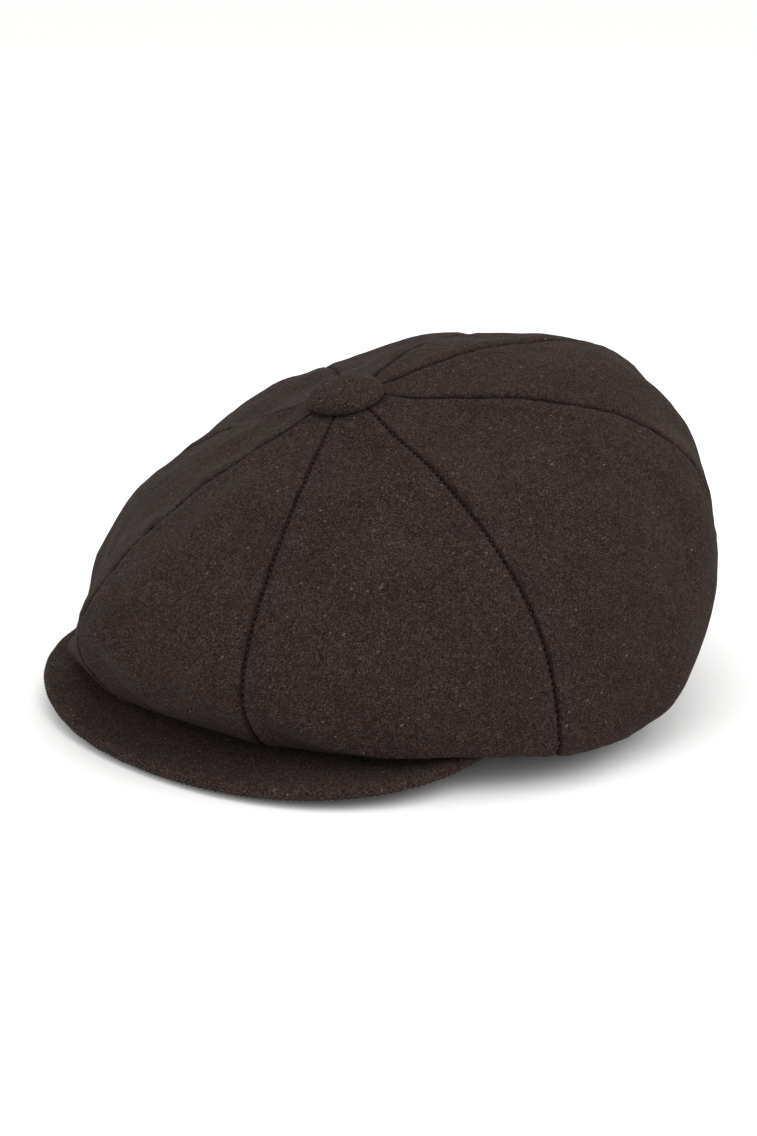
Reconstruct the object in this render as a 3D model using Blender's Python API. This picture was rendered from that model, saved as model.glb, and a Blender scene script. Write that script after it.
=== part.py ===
"""Eight-panel newsboy cap, size 58, in metres, +Z up, peak towards -Y, wearer's left at +X.

The origin is the centre of the head opening, in the plane of the band's lower rim.
The crown is described round its apex, the point under the button, by the angle phi:
0 is straight forward, 90 degrees is the wearer's left and 180 degrees is the back.
"""
import math

import bmesh
import bpy
from mathutils import Matrix, Vector

# ---- Driving dimensions ---------------------------------------------------------------
HEAD_HALF_WIDTH = 0.0840          # inside of the sweatband, side to side (58 cm round)
HEAD_HALF_LENGTH = 0.1000         # inside of the sweatband, front to back
BAND_HEIGHT = 0.0320
APEX = Vector((0.0, -0.025, 0.114))
WOOL = 0.0018                     # thickness of the melton cloth
LINING_CLOTH = 0.0008
SWEATBAND_CLOTH = 0.0012
STIFFENER_SHEET = 0.0008
GAP = 0.0003                      # left between pieces that touch

# Crown profile, as (front, side, back) values that blend round the crown
BULGE_RADIUS = (0.1151, 0.1305, 0.1600)
BULGE_SKEW = 0.0016               # slimmer front corners, fuller back corners
BULGE_DEPTH = (0.0780, 0.1075, 0.0240)
FOLD_DEPTH = (0.1088, 0.1125, 0.1115)
FRONT_CORNER = math.radians(64.0)
FRONT_CORNER_SPREAD = math.radians(24.0)
FRONT_CORNER_LIFT = 0.0034        # how much the lower edge rises where it crosses the peak's side
FOLD_INSET = (0.0226, 0.0010, 0.0095)
APEX_RISE = tuple(math.radians(angle) for angle in (15.9, -5.5, 20.8))
APEX_REACH = (0.122, 0.263, 0.609)  # how far the crown keeps its first direction, of the radius
BULGE_REACH = (0.375, 0.723, 1.250)  # how tall the upright part over the bulge is, of its depth
QUARTER_ANGLE = math.radians(135.0)
QUARTER_SPREAD = math.radians(30.0)
QUARTER_TUCK = 0.0202             # how much further the back quarters tuck in at the bottom
QUARTER_LIFT = 0.0132             # how much higher their bulge is
FOLD_ANGLE = math.radians(37.0)
FOLD_REACH = 0.0141
LOWER_WALL_REACH = 0.43
LEAST_WALL = 0.0080               # the bulge is at least this far above the fold
SEAM_ANGLES = tuple(math.radians(angle) for angle in (23.3, 79.9, 131.3, 166.8))
APEX_HOLE = 0.0040
HEM_Z = 0.0265                    # where the turned-in hem of the crown meets the band
HEM_CLEARANCE = 0.0008            # from the band, which both pieces meet with flat facets
TOP_ROWS = 9                      # rows of faces over the top, the wall and the hem
WALL_ROWS = 5
HEM_ROWS = 5
CROWN_COLUMN = math.radians(6.0)  # width of a column of faces
HEM_ARCH = 0.0020                 # how far the hem's ends bend up and down towards its middle
HEM_FROM_FOLD = 0.15              # where its two handles are, as shares of its width
HEM_FROM_BAND = 0.30

LINING_TOP = 0.0085               # how far the lining's top hangs under the apex
LINING_FOOT_Z = BAND_HEIGHT + 0.0006
LINING_HOLE = 0.0100
LINING_ROWS = 8
LINING_COLUMN = math.radians(8.0)
LINING_DISC_RADIUS = 0.0155
LINING_DISC_CLOTH = 0.0007
LINING_DISC_DROOP = 0.0011        # of its edge under its middle
LINING_DISC_CLEARANCE = 0.0022    # under the ends of the gores, which slope

STIFFENER_MARGIN = 0.0020         # from both edges of the band
SWEATBAND_LOW = 0.0006
SWEATBAND_HIGH = BAND_HEIGHT - 0.0010
BAND_SEGMENTS = 72

PEAK_HALF_WIDTH = 0.1050
PEAK_CENTRE_Y = -0.0646
PEAK_DEPTH = 0.0798
PEAK_ROUNDNESS = 2.2              # 2 is an ellipse, more is squarer
PEAK_ROOT_ANGLE = math.radians(61.0)
PEAK_SIDE_Z = 0.0040
PEAK_DROP = 0.0080
PEAK_FLARE = 0.0032               # how far its sides rise from the band to their edge
PEAK_FLARE_REACH = 0.35
PEAK_BOARD = 0.0012
PEAK_WOOL = 0.0011
PEAK_CLEARANCE = 0.0007           # from the band, so the peak can flex
PEAK_HINGE = Vector((0.0, -0.078, 0.0030))
PEAK_CORNER = Vector((0.0040, 0.0010))  # how far the outline starts from the end of the root
PEAK_EDGE_ROUND = 1.2             # length of the rounded edge, in half thicknesses
PEAK_EDGE_SHARE = 0.45            # and at most this share of the peak's depth
PEAK_SEAM = 0.0016                # between the edge of the board and the inside of the covers
PEAK_SPANS = 14                   # faces along half of the outline
# Rows of faces from the root to the edge: (place on the flat, or back from the rim; thickness)
PEAK_ROWS = ((0.0, 1.0), (0.3, 1.0), (0.6, 1.0), (1.0, 1.0),
             (-0.5, 0.87), (-0.12, 0.48), (0.0, 0.0))

BUTTON_RADIUS = 0.0158
BUTTON_HEIGHT = 0.0080
BUTTON_LIFT = 0.0018
BUTTON_LEAN = math.radians(15.0)  # forwards, with the slope of the crown at its apex
BUTTON_RIM = 0.0012               # height of the straight rim
BUTTON_WOOL = 0.0012
BUTTON_METAL = 0.0005
SHANK_RADIUS = 0.0014
SHANK_LOW = -0.0070
STAY_RADIUS = 0.0080
STAY_HIGH = -0.0036
STAY_LOW = -0.0046
PLATE_THICKNESS = 0.0008

TAB_WIDTH = 0.034
TAB_HEIGHT = 0.018
TAB_THICKNESS = 0.0007
TAB_LOW = 0.0080
TAB_CLEARANCE = 0.0007            # from the ideal ellipse, as the band has flat facets
TAB_SPANS = 6

PANEL_NAMES = ("front", "front_left", "left", "back_left",
               "back", "back_right", "right", "front_right")


# ---- Materials ------------------------------------------------------------------------
def material(name, colour, roughness, metallic=0.0):
    made = bpy.data.materials.new(name)
    made.use_nodes = True
    shader = made.node_tree.nodes["Principled BSDF"]
    shader.inputs["Base Color"].default_value = (*colour, 1.0)
    shader.inputs["Roughness"].default_value = roughness
    shader.inputs["Metallic"].default_value = metallic
    return made


# ---- Mesh helpers ---------------------------------------------------------------------
def add_object(name, mesh_builder, look, parent=None, smooth=50.0):
    mesh = bpy.data.meshes.new(name)
    bmesh.ops.recalc_face_normals(mesh_builder, faces=mesh_builder.faces)
    mesh_builder.to_mesh(mesh)
    mesh_builder.free()
    mesh.shade_smooth()
    mesh.set_sharp_from_angle(angle=math.radians(smooth))
    mesh.materials.append(look)
    made = bpy.data.objects.new(name, mesh)
    bpy.context.scene.collection.objects.link(made)
    if parent is not None:
        mesh.transform(Matrix.Translation(-parent.location))
        made.parent = parent
    return made


def add_grid(builder, rows, closed):
    """Faces over rows of points; a closed grid joins its last column to its first."""
    verts = [[builder.verts.new(point) for point in row] for row in rows]
    columns = len(rows[0])
    last = columns if closed else columns - 1
    for upper, lower in zip(verts, verts[1:]):
        for i in range(last):
            j = (i + 1) % columns
            builder.faces.new((upper[i], upper[j], lower[j], lower[i]))
    return verts


def add_strip(builder, first, second, closed=False):
    """Faces between two equal rows of vertices."""
    count = len(first)
    for i in range(count if closed else count - 1):
        j = (i + 1) % count
        builder.faces.new((first[i], first[j], second[j], second[i]))


def sheet_between(outer_rows, inner_rows, closed=False):
    """A thin closed body between two grids of points that have the same layout."""
    builder = bmesh.new()
    outer = add_grid(builder, outer_rows, closed)
    inner = add_grid(builder, inner_rows, closed)
    add_strip(builder, outer[0], inner[0], closed)
    add_strip(builder, outer[-1], inner[-1], closed)
    if not closed:
        for side in (0, -1):
            add_strip(builder, [row[side] for row in outer], [row[side] for row in inner])
    return builder


def turned(profile, place, segments):
    """A body turned about its own vertical axis from a closed profile of (radius, height)."""
    builder = bmesh.new()
    rings = []
    for radius, height in profile:
        if radius < 1e-6:
            rings.append([builder.verts.new((0.0, 0.0, height))])
            continue
        ring = []
        for i in range(segments):
            angle = 2 * math.pi * i / segments
            ring.append(builder.verts.new((radius * math.cos(angle), radius * math.sin(angle), height)))
        rings.append(ring)
    for first, second in zip(rings, rings[1:] + rings[:1]):
        if len(first) > 1 and len(second) > 1:
            add_strip(builder, first, second, closed=True)
        elif len(first) + len(second) > 2:
            tip, ring = (first[0], second) if len(first) == 1 else (second[0], first)
            for i in range(segments):
                builder.faces.new((tip, ring[i], ring[(i + 1) % segments]))
    bmesh.ops.transform(builder, matrix=place, verts=builder.verts)
    return builder


def bezier(p0, p1, p2, p3, t):
    u = 1.0 - t
    return u * u * u * p0 + 3 * u * u * t * p1 + 3 * u * t * t * p2 + t * t * t * p3


# ---- Shape of the crown ---------------------------------------------------------------
def around(phi, front_side_back, skew=0.0):
    """A value that changes smoothly round the crown."""
    front, side, back = front_side_back
    mean = (front + back) / 4 + side / 2
    oval = (front + back) / 4 - side / 2
    value = mean + (front - back) / 2 * math.cos(phi) + oval * math.cos(2 * phi)
    return value + skew * (math.cos(3 * phi) - math.cos(phi))


def band_point(phi, grow, z):
    """Where the ray at phi from the apex axis meets the head ellipse, grown by a width."""
    width = HEAD_HALF_WIDTH + grow
    length = HEAD_HALF_LENGTH + grow
    back = -APEX.y
    a = (math.sin(phi) / width) ** 2 + (math.cos(phi) / length) ** 2
    b = math.cos(phi) * back / length ** 2
    c = (back / length) ** 2 - 1.0
    reach = (-b + math.sqrt(b * b - a * c)) / a
    return Vector((reach * math.sin(phi), APEX.y - reach * math.cos(phi), z))


def near_angle(phi, angle, spread):
    """1 at this angle on either side of the crown, fading to 0 away from it."""
    turn = abs(math.remainder(phi, 2 * math.pi))
    return math.exp(-((turn - angle) / spread) ** 2)


def crown_profile(phi, t):
    """Radius and height from the apex: t runs 0 to 1 over the top and 1 to 2 down the wall."""
    quarter = near_angle(phi, QUARTER_ANGLE, QUARTER_SPREAD)
    corner = near_angle(phi, FRONT_CORNER, FRONT_CORNER_SPREAD)
    radius = around(phi, BULGE_RADIUS, BULGE_SKEW)
    fold_depth = around(phi, FOLD_DEPTH) - FRONT_CORNER_LIFT * corner
    drop = fold_depth - around(phi, BULGE_DEPTH) + QUARTER_LIFT * quarter
    drop = (drop + math.hypot(drop, 2 * LEAST_WALL)) / 2
    depth = fold_depth - drop
    fold_radius = radius - around(phi, FOLD_INSET) - QUARTER_TUCK * quarter
    if t <= 1.0:
        rise = around(phi, APEX_RISE)
        reach = around(phi, APEX_REACH) * radius
        upright = around(phi, BULGE_REACH) * depth
        r = bezier(0.0, reach * math.cos(rise), radius, radius, t)
        return r, bezier(0.0, reach * math.sin(rise), upright - depth, -depth, t)
    t -= 1.0
    wall = LOWER_WALL_REACH * drop
    # where the wall is short, the fold is tighter
    fold_reach = FOLD_REACH * drop / (0.8 * drop + FOLD_REACH)
    wide = fold_radius + fold_reach * math.cos(FOLD_ANGLE)
    r = bezier(radius, radius, wide, fold_radius, t)
    low = fold_reach * math.sin(FOLD_ANGLE) - fold_depth
    return r, bezier(-depth, -depth - wall, low, -fold_depth, t)


def crown_place(phi, r, z):
    return APEX + Vector((r * math.sin(phi), -r * math.cos(phi), z))


def crown_start(phi):
    """The value of t at which the crown leaves the hole at its apex."""
    low, high = 0.0, 1.0
    for _ in range(30):
        middle = (low + high) / 2
        if crown_profile(phi, middle)[0] < APEX_HOLE:
            low = middle
        else:
            high = middle
    return high


def crown_column(phi, top_rows, wall_rows, hem_rows):
    """Points of the crown's outside at one angle, from the apex hole to the hem."""
    start = crown_start(phi)
    steps = [start + (1.0 - start) * i / top_rows for i in range(top_rows + 1)]
    steps += [1.0 + (i + 1) / wall_rows for i in range(wall_rows)]
    points = [crown_place(phi, *crown_profile(phi, t)) for t in steps]
    fold = points[-1]
    outward = Vector((math.sin(phi), -math.cos(phi), 0.0))
    band = band_point(phi, band_outer() + HEM_CLEARANCE, HEM_Z)
    width = (fold - band).length
    near_fold = fold - outward * HEM_FROM_FOLD * width + Vector((0.0, 0.0, HEM_ARCH))
    near_band = band + outward * HEM_FROM_BAND * width - Vector((0.0, 0.0, HEM_ARCH))
    for i in range(hem_rows):
        points.append(bezier(fold, near_fold, near_band, band, (i + 1) / hem_rows))
    return points


def band_outer():
    """How far the outside of the head band is from the inside of the sweatband."""
    return SWEATBAND_CLOTH + GAP + STIFFENER_SHEET + GAP + WOOL


def surface_normals(rows, phis):
    """Outward normals of a grid whose columns lie at the given angles."""
    normals = []
    for i, row in enumerate(rows):
        above = rows[max(i - 1, 0)]
        below = rows[min(i + 1, len(rows) - 1)]
        line = []
        for j, phi in enumerate(phis):
            along = below[j] - above[j]
            across = Vector((math.cos(phi), math.sin(phi), 0.0))
            if 0 < j < len(row) - 1:
                across = row[j + 1] - row[j - 1]
            line.append(along.cross(across).normalized())
        normals.append(line)
    return normals


def seam_angles():
    """The eight seams in order round the crown, starting left of the front panel."""
    half = list(SEAM_ANGLES)
    return half + [2 * math.pi - angle for angle in reversed(half)]


def panel_limits(index):
    seams = seam_angles()
    if index == 0:
        return seams[-1] - 2 * math.pi, seams[0]
    return seams[index - 1], seams[index]


def crown_panel(index, look):
    """One gore: top, wall and turned-in hem in a single piece of cloth."""
    start, end = panel_limits(index)
    columns = round((end - start) / CROWN_COLUMN)
    phis = [start + (end - start) * i / columns for i in range(columns + 1)]
    grid = list(zip(*[crown_column(phi, TOP_ROWS, WALL_ROWS, HEM_ROWS) for phi in phis]))
    normals = surface_normals(grid, phis)
    outer, inner = [], []
    fold_row = TOP_ROWS + WALL_ROWS
    for i, (row, normal_row) in enumerate(zip(grid, normals)):
        # the hem thickens straight up where it meets the band
        upright = max(0.0, (i - fold_row) / HEM_ROWS)
        up = Vector((0.0, 0.0, 1.0))
        inwards = [(-n).lerp(up, min(1.0, 1.4 * upright)).normalized() for n in normal_row]
        outer_row = [Vector(point) for point in row]
        for side, sign in ((0, 1.0), (-1, -1.0)):
            phi = phis[side]
            sideways = Vector((math.cos(phi), math.sin(phi), 0.0))
            outer_row[side] = outer_row[side] + sideways * sign * GAP / 2
        outer.append(outer_row)
        inner.append([p + step * WOOL for p, step in zip(outer_row, inwards)])
    return add_object("crown_panel_" + PANEL_NAMES[index], sheet_between(outer, inner), look)


# ---- Lining ---------------------------------------------------------------------------
def lining_point(phi, height, drop):
    """A point of the lining, with height 0 at the band and 1 at the top."""
    foot = band_point(phi, SWEATBAND_CLOTH + GAP - drop, LINING_FOOT_Z)
    top = Vector((APEX.x, APEX.y, APEX.z - LINING_TOP - drop))
    angle = height * math.pi / 2
    flat = top.xy + (foot.xy - top.xy) * math.cos(angle)
    return Vector((flat.x, flat.y, foot.z + (top.z - foot.z) * math.sin(angle)))


def lining_gore(index, look):
    start, end = panel_limits(index)
    columns = round((end - start) / LINING_COLUMN)
    phis = [start + (end - start) * i / columns for i in range(columns + 1)]
    grids = []
    for drop in (0.0, LINING_CLOTH):
        grid = []
        for i in range(LINING_ROWS + 1):
            row = []
            for phi in phis:
                reach = band_point(phi, 0.0, 0.0)
                full = math.hypot(reach.x - APEX.x, reach.y - APEX.y)
                height = i / LINING_ROWS * math.acos(LINING_HOLE / full) / (math.pi / 2)
                row.append(lining_point(phi, height, drop))
            for side, sign in ((0, 1.0), (-1, -1.0)):
                phi = phis[side]
                sideways = Vector((math.cos(phi), math.sin(phi), 0.0))
                row[side] = row[side] + sideways * sign * GAP / 2
            grid.append(row)
        grids.append(grid)
    return add_object("lining_gore_" + PANEL_NAMES[index], sheet_between(*grids), look)


# ---- Band -----------------------------------------------------------------------------
def ring_body(grow_in, grow_out, bottom, top):
    """An upright elliptical ring with a square section."""
    def ellipse(grow, z):
        points = []
        for i in range(BAND_SEGMENTS):
            angle = 2 * math.pi * i / BAND_SEGMENTS
            x = (HEAD_HALF_WIDTH + grow) * math.sin(angle)
            y = -(HEAD_HALF_LENGTH + grow) * math.cos(angle)
            points.append(Vector((x, y, z)))
        return points

    middle = (bottom + top) / 2
    outer = [ellipse(grow_out, z) for z in (bottom, middle, top)]
    inner = [ellipse(grow_in, z) for z in (bottom, middle, top)]
    return sheet_between(outer, inner, closed=True)


def head_band(look):
    grow = SWEATBAND_CLOTH + GAP + STIFFENER_SHEET + GAP
    return add_object("head_band", ring_body(grow, grow + WOOL, 0.0, BAND_HEIGHT), look)


def band_stiffener(look):
    grow = SWEATBAND_CLOTH + GAP
    top = BAND_HEIGHT - STIFFENER_MARGIN
    body = ring_body(grow, grow + STIFFENER_SHEET, STIFFENER_MARGIN, top)
    return add_object("band_stiffener", body, look)


def sweatband(look):
    body = ring_body(0.0, SWEATBAND_CLOTH, SWEATBAND_LOW, SWEATBAND_HIGH)
    return add_object("sweatband", body, look)


def size_tab(look):
    """A blank folded tab sewn to the inside of the sweatband at the back."""
    grids = []
    for inset in (TAB_CLEARANCE, TAB_CLEARANCE + TAB_THICKNESS):
        grid = []
        for z in (TAB_LOW, TAB_LOW + TAB_HEIGHT):
            row = []
            for i in range(TAB_SPANS + 1):
                x = TAB_WIDTH * (i / TAB_SPANS - 0.5)
                bow = math.sqrt(1.0 - (x / HEAD_HALF_WIDTH) ** 2)
                row.append(Vector((x, HEAD_HALF_LENGTH * bow - inset, z)))
            grid.append(row)
        grids.append(grid)
    return add_object("size_tab", sheet_between(*grids), look)


# ---- Peak -----------------------------------------------------------------------------
def peak_outline(count):
    """Half of the peak's outline from the corner on the band to the tip, evenly spaced."""
    root = peak_root(1.0)
    corner = root + PEAK_CORNER
    fine = []
    for i in range(40):
        angle = math.pi / 2 * i / 40
        x = corner.x + (PEAK_HALF_WIDTH - corner.x) * math.sin(angle)
        y = PEAK_CENTRE_Y + (corner.y - PEAK_CENTRE_Y) * math.cos(angle)
        fine.append(Vector((x, y)))
    power = 2.0 / PEAK_ROUNDNESS
    for i in range(161):
        angle = math.pi / 2 * i / 160
        x = PEAK_HALF_WIDTH * math.cos(angle) ** power if i < 160 else 0.0
        fine.append(Vector((x, PEAK_CENTRE_Y - PEAK_DEPTH * math.sin(angle) ** power)))
    lengths = [0.0]
    for first, second in zip(fine, fine[1:]):
        lengths.append(lengths[-1] + (second - first).length)
    points = []
    for i in range(count + 1):
        target = lengths[-1] * i / count
        k = max(j for j in range(len(fine) - 1) if lengths[j] <= target + 1e-12)
        part = (target - lengths[k]) / (lengths[k + 1] - lengths[k])
        points.append(fine[k].lerp(fine[k + 1], min(part, 1.0)))
    return points


def peak_root(across):
    """The inner edge of the peak, on the outside of the head band; across is -1 to 1."""
    grow = band_outer() + PEAK_CLEARANCE
    angle = PEAK_ROOT_ANGLE * across
    x = (HEAD_HALF_WIDTH + grow) * math.sin(angle)
    return Vector((x, -(HEAD_HALF_LENGTH + grow) * math.cos(angle)))


def peak_middle_z(point):
    """Height of the peak's middle surface: it slopes down to the tip, and its sides flare up."""
    forward = min(max((PEAK_CENTRE_Y - point.y) / PEAK_DEPTH, 0.0), 1.1)
    sideways = min(abs(point.x) / HEAD_HALF_WIDTH, 1.0)
    from_band = math.hypot(point.x / HEAD_HALF_WIDTH, point.y / HEAD_HALF_LENGTH) - 1.0
    outward = min(max(from_band / PEAK_FLARE_REACH, 0.0), 1.0)
    return PEAK_SIDE_Z - PEAK_DROP * forward - PEAK_FLARE * sideways ** 2 * (1.0 - outward)


def peak_grid(half_thickness, edge_inset, side):
    """Rows from the root to the outline on one face of a lens-edged plate."""
    half = peak_outline(PEAK_SPANS)
    outline = [Vector((-p.x, p.y)) for p in half] + [p for p in reversed(half[:-1])]
    total = len(outline) - 1
    roots = [peak_root(-1.0 + 2.0 * i / total) for i in range(total + 1)]
    edge = half_thickness * PEAK_EDGE_ROUND
    rows = []
    for place, lift in PEAK_ROWS:
        row = []
        for root, out in zip(roots, outline):
            step = out - root
            length = step.length
            direction = step / length
            rim = out - direction * edge_inset
            flat_end = rim - direction * min(edge, PEAK_EDGE_SHARE * (rim - root).length)
            if lift == 1.0:
                point = root.lerp(flat_end, place)
            else:
                point = rim.lerp(flat_end, -place)
            row.append(Vector((point.x, point.y, peak_middle_z(point) + side * half_thickness * lift)))
        rows.append(row)
    return rows


def peak_cover(name, side, look, hinge):
    """The upper (side 1) or lower (side -1) cloth of the peak, half of a thin lens."""
    half = GAP / 2
    inside = PEAK_BOARD / 2 + GAP
    outer = peak_grid(inside + PEAK_WOOL, 0.0, side)
    inner = peak_grid(inside, PEAK_WOOL, side)
    for grid in (outer, inner):
        for row in grid:
            for point in row:
                middle = peak_middle_z(point)
                if side * (point.z - middle) < half:
                    point.z = middle + side * half
    return add_object(name, sheet_between(outer, inner), look, parent=hinge)


def peak_board(look, hinge):
    upper = peak_grid(PEAK_BOARD / 2, PEAK_WOOL + PEAK_SEAM, 1)
    lower = peak_grid(PEAK_BOARD / 2, PEAK_WOOL + PEAK_SEAM, -1)
    builder = bmesh.new()
    top = add_grid(builder, upper, False)
    bottom = add_grid(builder, lower[:-1], False)
    bottom.append(top[-1])
    add_strip(builder, bottom[-2], bottom[-1])
    add_strip(builder, top[0], bottom[0])
    for end in (0, -1):
        ends_top = [row[end] for row in top]
        ends_bottom = [row[end] for row in bottom[:-1]]
        builder.faces.new(ends_top + ends_bottom[::-1])
    return add_object("peak_board", builder, look, parent=hinge)


# ---- Button ---------------------------------------------------------------------------
def dome(radius, top, base, steps, start):
    """Profile of a round dome from its rim, at the height of its base, up to its middle."""
    points = []
    for i in range(steps + 1):
        angle = start + (math.pi / 2 - start) * i / steps
        points.append((radius * math.cos(angle), base + (top - base) * math.sin(angle)))
    points[-1] = (0.0, top)
    return points


def button_parts(cloth, metal, backing):
    lean = Matrix.Translation(APEX) @ Matrix.Rotation(BUTTON_LEAN, 4, "X")
    place = lean @ Matrix.Translation((0.0, 0.0, BUTTON_LIFT))
    # cloth cover, wrapped over the rim and a little way under it
    outer = [(BUTTON_RADIUS * 0.72, 0.0), (BUTTON_RADIUS * 0.93, 0.0)]
    outer += dome(BUTTON_RADIUS, BUTTON_HEIGHT, BUTTON_RIM, 9, 0.0)
    inner_radius = BUTTON_RADIUS - BUTTON_WOOL
    inner_top = BUTTON_HEIGHT - BUTTON_WOOL
    inner = [(inner_radius * 0.77, BUTTON_WOOL), (inner_radius * 0.97, BUTTON_WOOL)]
    inner += dome(inner_radius, inner_top, BUTTON_RIM, 9, 0.06)
    add_object("button_cover", turned(outer + inner[::-1], place, 32), cloth)
    # pressed metal shell under the cloth
    floor = BUTTON_WOOL + GAP
    shell_radius = inner_radius - GAP
    shell_top = inner_top - GAP
    outer = [(shell_radius * 0.985, floor)] + dome(shell_radius, shell_top, BUTTON_RIM, 7, 0.12)
    hollow = shell_radius - BUTTON_METAL
    hollow_top = shell_top - BUTTON_METAL
    inner = [(hollow * 0.985, floor)] + dome(hollow, hollow_top, BUTTON_RIM, 7, 0.12)
    add_object("button_shell", turned(outer + inner[::-1], place, 28), metal)
    # back plate with its shank through the crown
    plate_radius = hollow * 0.80
    plate_top = floor + PLATE_THICKNESS
    plate = [(0.0, plate_top), (plate_radius, plate_top), (plate_radius, floor),
             (SHANK_RADIUS, floor), (SHANK_RADIUS, SHANK_LOW), (0.0, SHANK_LOW)]
    add_object("button_back_plate", turned(plate, place, 24), metal)
    # disc inside the crown that the shank is tied against
    hole = SHANK_RADIUS + GAP
    disc = [(hole, STAY_HIGH), (STAY_RADIUS, STAY_HIGH), (STAY_RADIUS, STAY_LOW), (hole, STAY_LOW)]
    add_object("button_stay", turned(disc, lean, 24), backing)


def lining_disc(look):
    """The round cap that closes the lining where its gores meet."""
    top = APEX.z - LINING_TOP - LINING_CLOTH - LINING_DISC_CLEARANCE
    over = []
    for share in (0.0, 0.6, 1.0):
        over.append((LINING_DISC_RADIUS * share, -LINING_DISC_DROOP * share ** 2))
    under = [(radius, height - LINING_DISC_CLOTH) for radius, height in over]
    profile = over + under[::-1]
    place = Matrix.Translation((APEX.x, APEX.y, top))
    return add_object("lining_disc", turned(profile, place, 28), look)


# ---- Assembly -------------------------------------------------------------------------
def main():
    for existing in list(bpy.data.objects):
        bpy.data.objects.remove(existing, do_unlink=True)
    melton = material("melton_wool", (0.0395, 0.0283, 0.0252), 0.95)
    satin = material("lining_satin", (0.030, 0.022, 0.020), 0.45)
    twill = material("sweatband_twill", (0.018, 0.014, 0.013), 0.75)
    stiff = material("band_stiffener", (0.62, 0.59, 0.52), 0.85)
    board = material("peak_board", (0.55, 0.53, 0.50), 0.55)
    metal = material("button_metal", (0.60, 0.60, 0.60), 0.35, 1.0)
    woven = material("woven_tab", (0.55, 0.52, 0.46), 0.70)

    for index in range(len(PANEL_NAMES)):
        crown_panel(index, melton)
    for index in range(len(PANEL_NAMES)):
        lining_gore(index, satin)
    lining_disc(satin)
    head_band(melton)
    band_stiffener(stiff)
    sweatband(twill)
    size_tab(woven)
    button_parts(melton, metal, stiff)

    hinge = bpy.data.objects.new("peak_hinge", None)
    hinge.location = PEAK_HINGE
    bpy.context.scene.collection.objects.link(hinge)
    peak_cover("peak_upper_cover", 1, melton, hinge)
    peak_board(board, hinge)
    peak_cover("peak_lower_cover", -1, melton, hinge)


main()
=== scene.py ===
"""Eight-panel newsboy cap in felted wool: the looks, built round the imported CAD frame.

Every length is in metres, in the frame's own axes: +Z up, peak towards -Y, wearer's left
at +X. The crown is described round its apex by the angle phi, 0 at the front and 90
degrees at the wearer's left, and by t: 0 to 1 over the top, 1 to 2 down the wall to the
fold, and 2 to 3 along the hem that turns in to the head band.
"""

import math

import bpy
import numpy as np
from mathutils import Matrix, Vector, noise


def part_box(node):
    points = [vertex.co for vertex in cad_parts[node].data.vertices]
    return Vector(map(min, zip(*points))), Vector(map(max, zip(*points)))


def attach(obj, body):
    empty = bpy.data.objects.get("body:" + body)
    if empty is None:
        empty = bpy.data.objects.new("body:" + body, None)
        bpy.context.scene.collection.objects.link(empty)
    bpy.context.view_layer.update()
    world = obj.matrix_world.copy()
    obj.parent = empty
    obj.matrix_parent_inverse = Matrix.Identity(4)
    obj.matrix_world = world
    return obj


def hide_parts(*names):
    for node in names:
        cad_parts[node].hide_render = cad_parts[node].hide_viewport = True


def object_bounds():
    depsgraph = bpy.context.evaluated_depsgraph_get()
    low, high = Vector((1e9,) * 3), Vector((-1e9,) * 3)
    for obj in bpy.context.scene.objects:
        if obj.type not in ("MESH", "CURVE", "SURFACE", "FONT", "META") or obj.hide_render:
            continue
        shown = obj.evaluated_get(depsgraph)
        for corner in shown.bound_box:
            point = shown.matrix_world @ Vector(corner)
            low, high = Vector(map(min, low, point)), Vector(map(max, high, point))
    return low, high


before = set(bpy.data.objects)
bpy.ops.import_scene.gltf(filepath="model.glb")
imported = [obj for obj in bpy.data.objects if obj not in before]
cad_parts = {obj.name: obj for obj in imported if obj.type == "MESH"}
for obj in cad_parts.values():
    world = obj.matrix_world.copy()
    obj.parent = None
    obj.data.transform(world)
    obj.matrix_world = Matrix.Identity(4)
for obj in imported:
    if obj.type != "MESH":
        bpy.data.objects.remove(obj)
cad_low, cad_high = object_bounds()

# ---- Sizes shared with the CAD model ----------------------------------------------------
HEAD_HALF_WIDTH = 0.0840
HEAD_HALF_LENGTH = 0.1000
BAND_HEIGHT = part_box("head_band")[1].z
APEX = np.array([0.0, -0.025, 0.114])
WOOL = 0.0018
LINING_CLOTH = 0.0008
SWEATBAND_CLOTH = 0.0012
STIFFENER_SHEET = 0.0008
GAP = 0.0003
BULGE_RADIUS = (0.1151, 0.1305, 0.1600)
BULGE_SKEW = 0.0016
BULGE_DEPTH = (0.0780, 0.1075, 0.0240)
FOLD_DEPTH = (0.1088, 0.1125, 0.1115)
FRONT_CORNER = math.radians(64.0)
FRONT_CORNER_SPREAD = math.radians(24.0)
FRONT_CORNER_LIFT = 0.0034
FOLD_INSET = (0.0226, 0.0010, 0.0095)
APEX_RISE = tuple(math.radians(angle) for angle in (15.9, -5.5, 20.8))
APEX_REACH = (0.122, 0.263, 0.609)
BULGE_REACH = (0.375, 0.723, 1.250)
QUARTER_ANGLE = math.radians(135.0)
QUARTER_SPREAD = math.radians(30.0)
QUARTER_TUCK = 0.0202
QUARTER_LIFT = 0.0132
FOLD_ANGLE = math.radians(37.0)
FOLD_REACH = 0.0141
LOWER_WALL_REACH = 0.43
LEAST_WALL = 0.0080
SEAM_ANGLES = tuple(math.radians(angle) for angle in (23.3, 79.9, 131.3, 166.8))
APEX_HOLE = 0.0040
HEM_Z = 0.0265
PEAK_HALF_WIDTH = 0.1050
PEAK_CENTRE_Y = -0.0646
PEAK_DEPTH = 0.0798
PEAK_ROUNDNESS = 2.2
PEAK_ROOT_ANGLE = math.radians(61.0)
PEAK_SIDE_Z = 0.0040
PEAK_DROP = 0.0080
PEAK_FLARE = 0.0032
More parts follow.
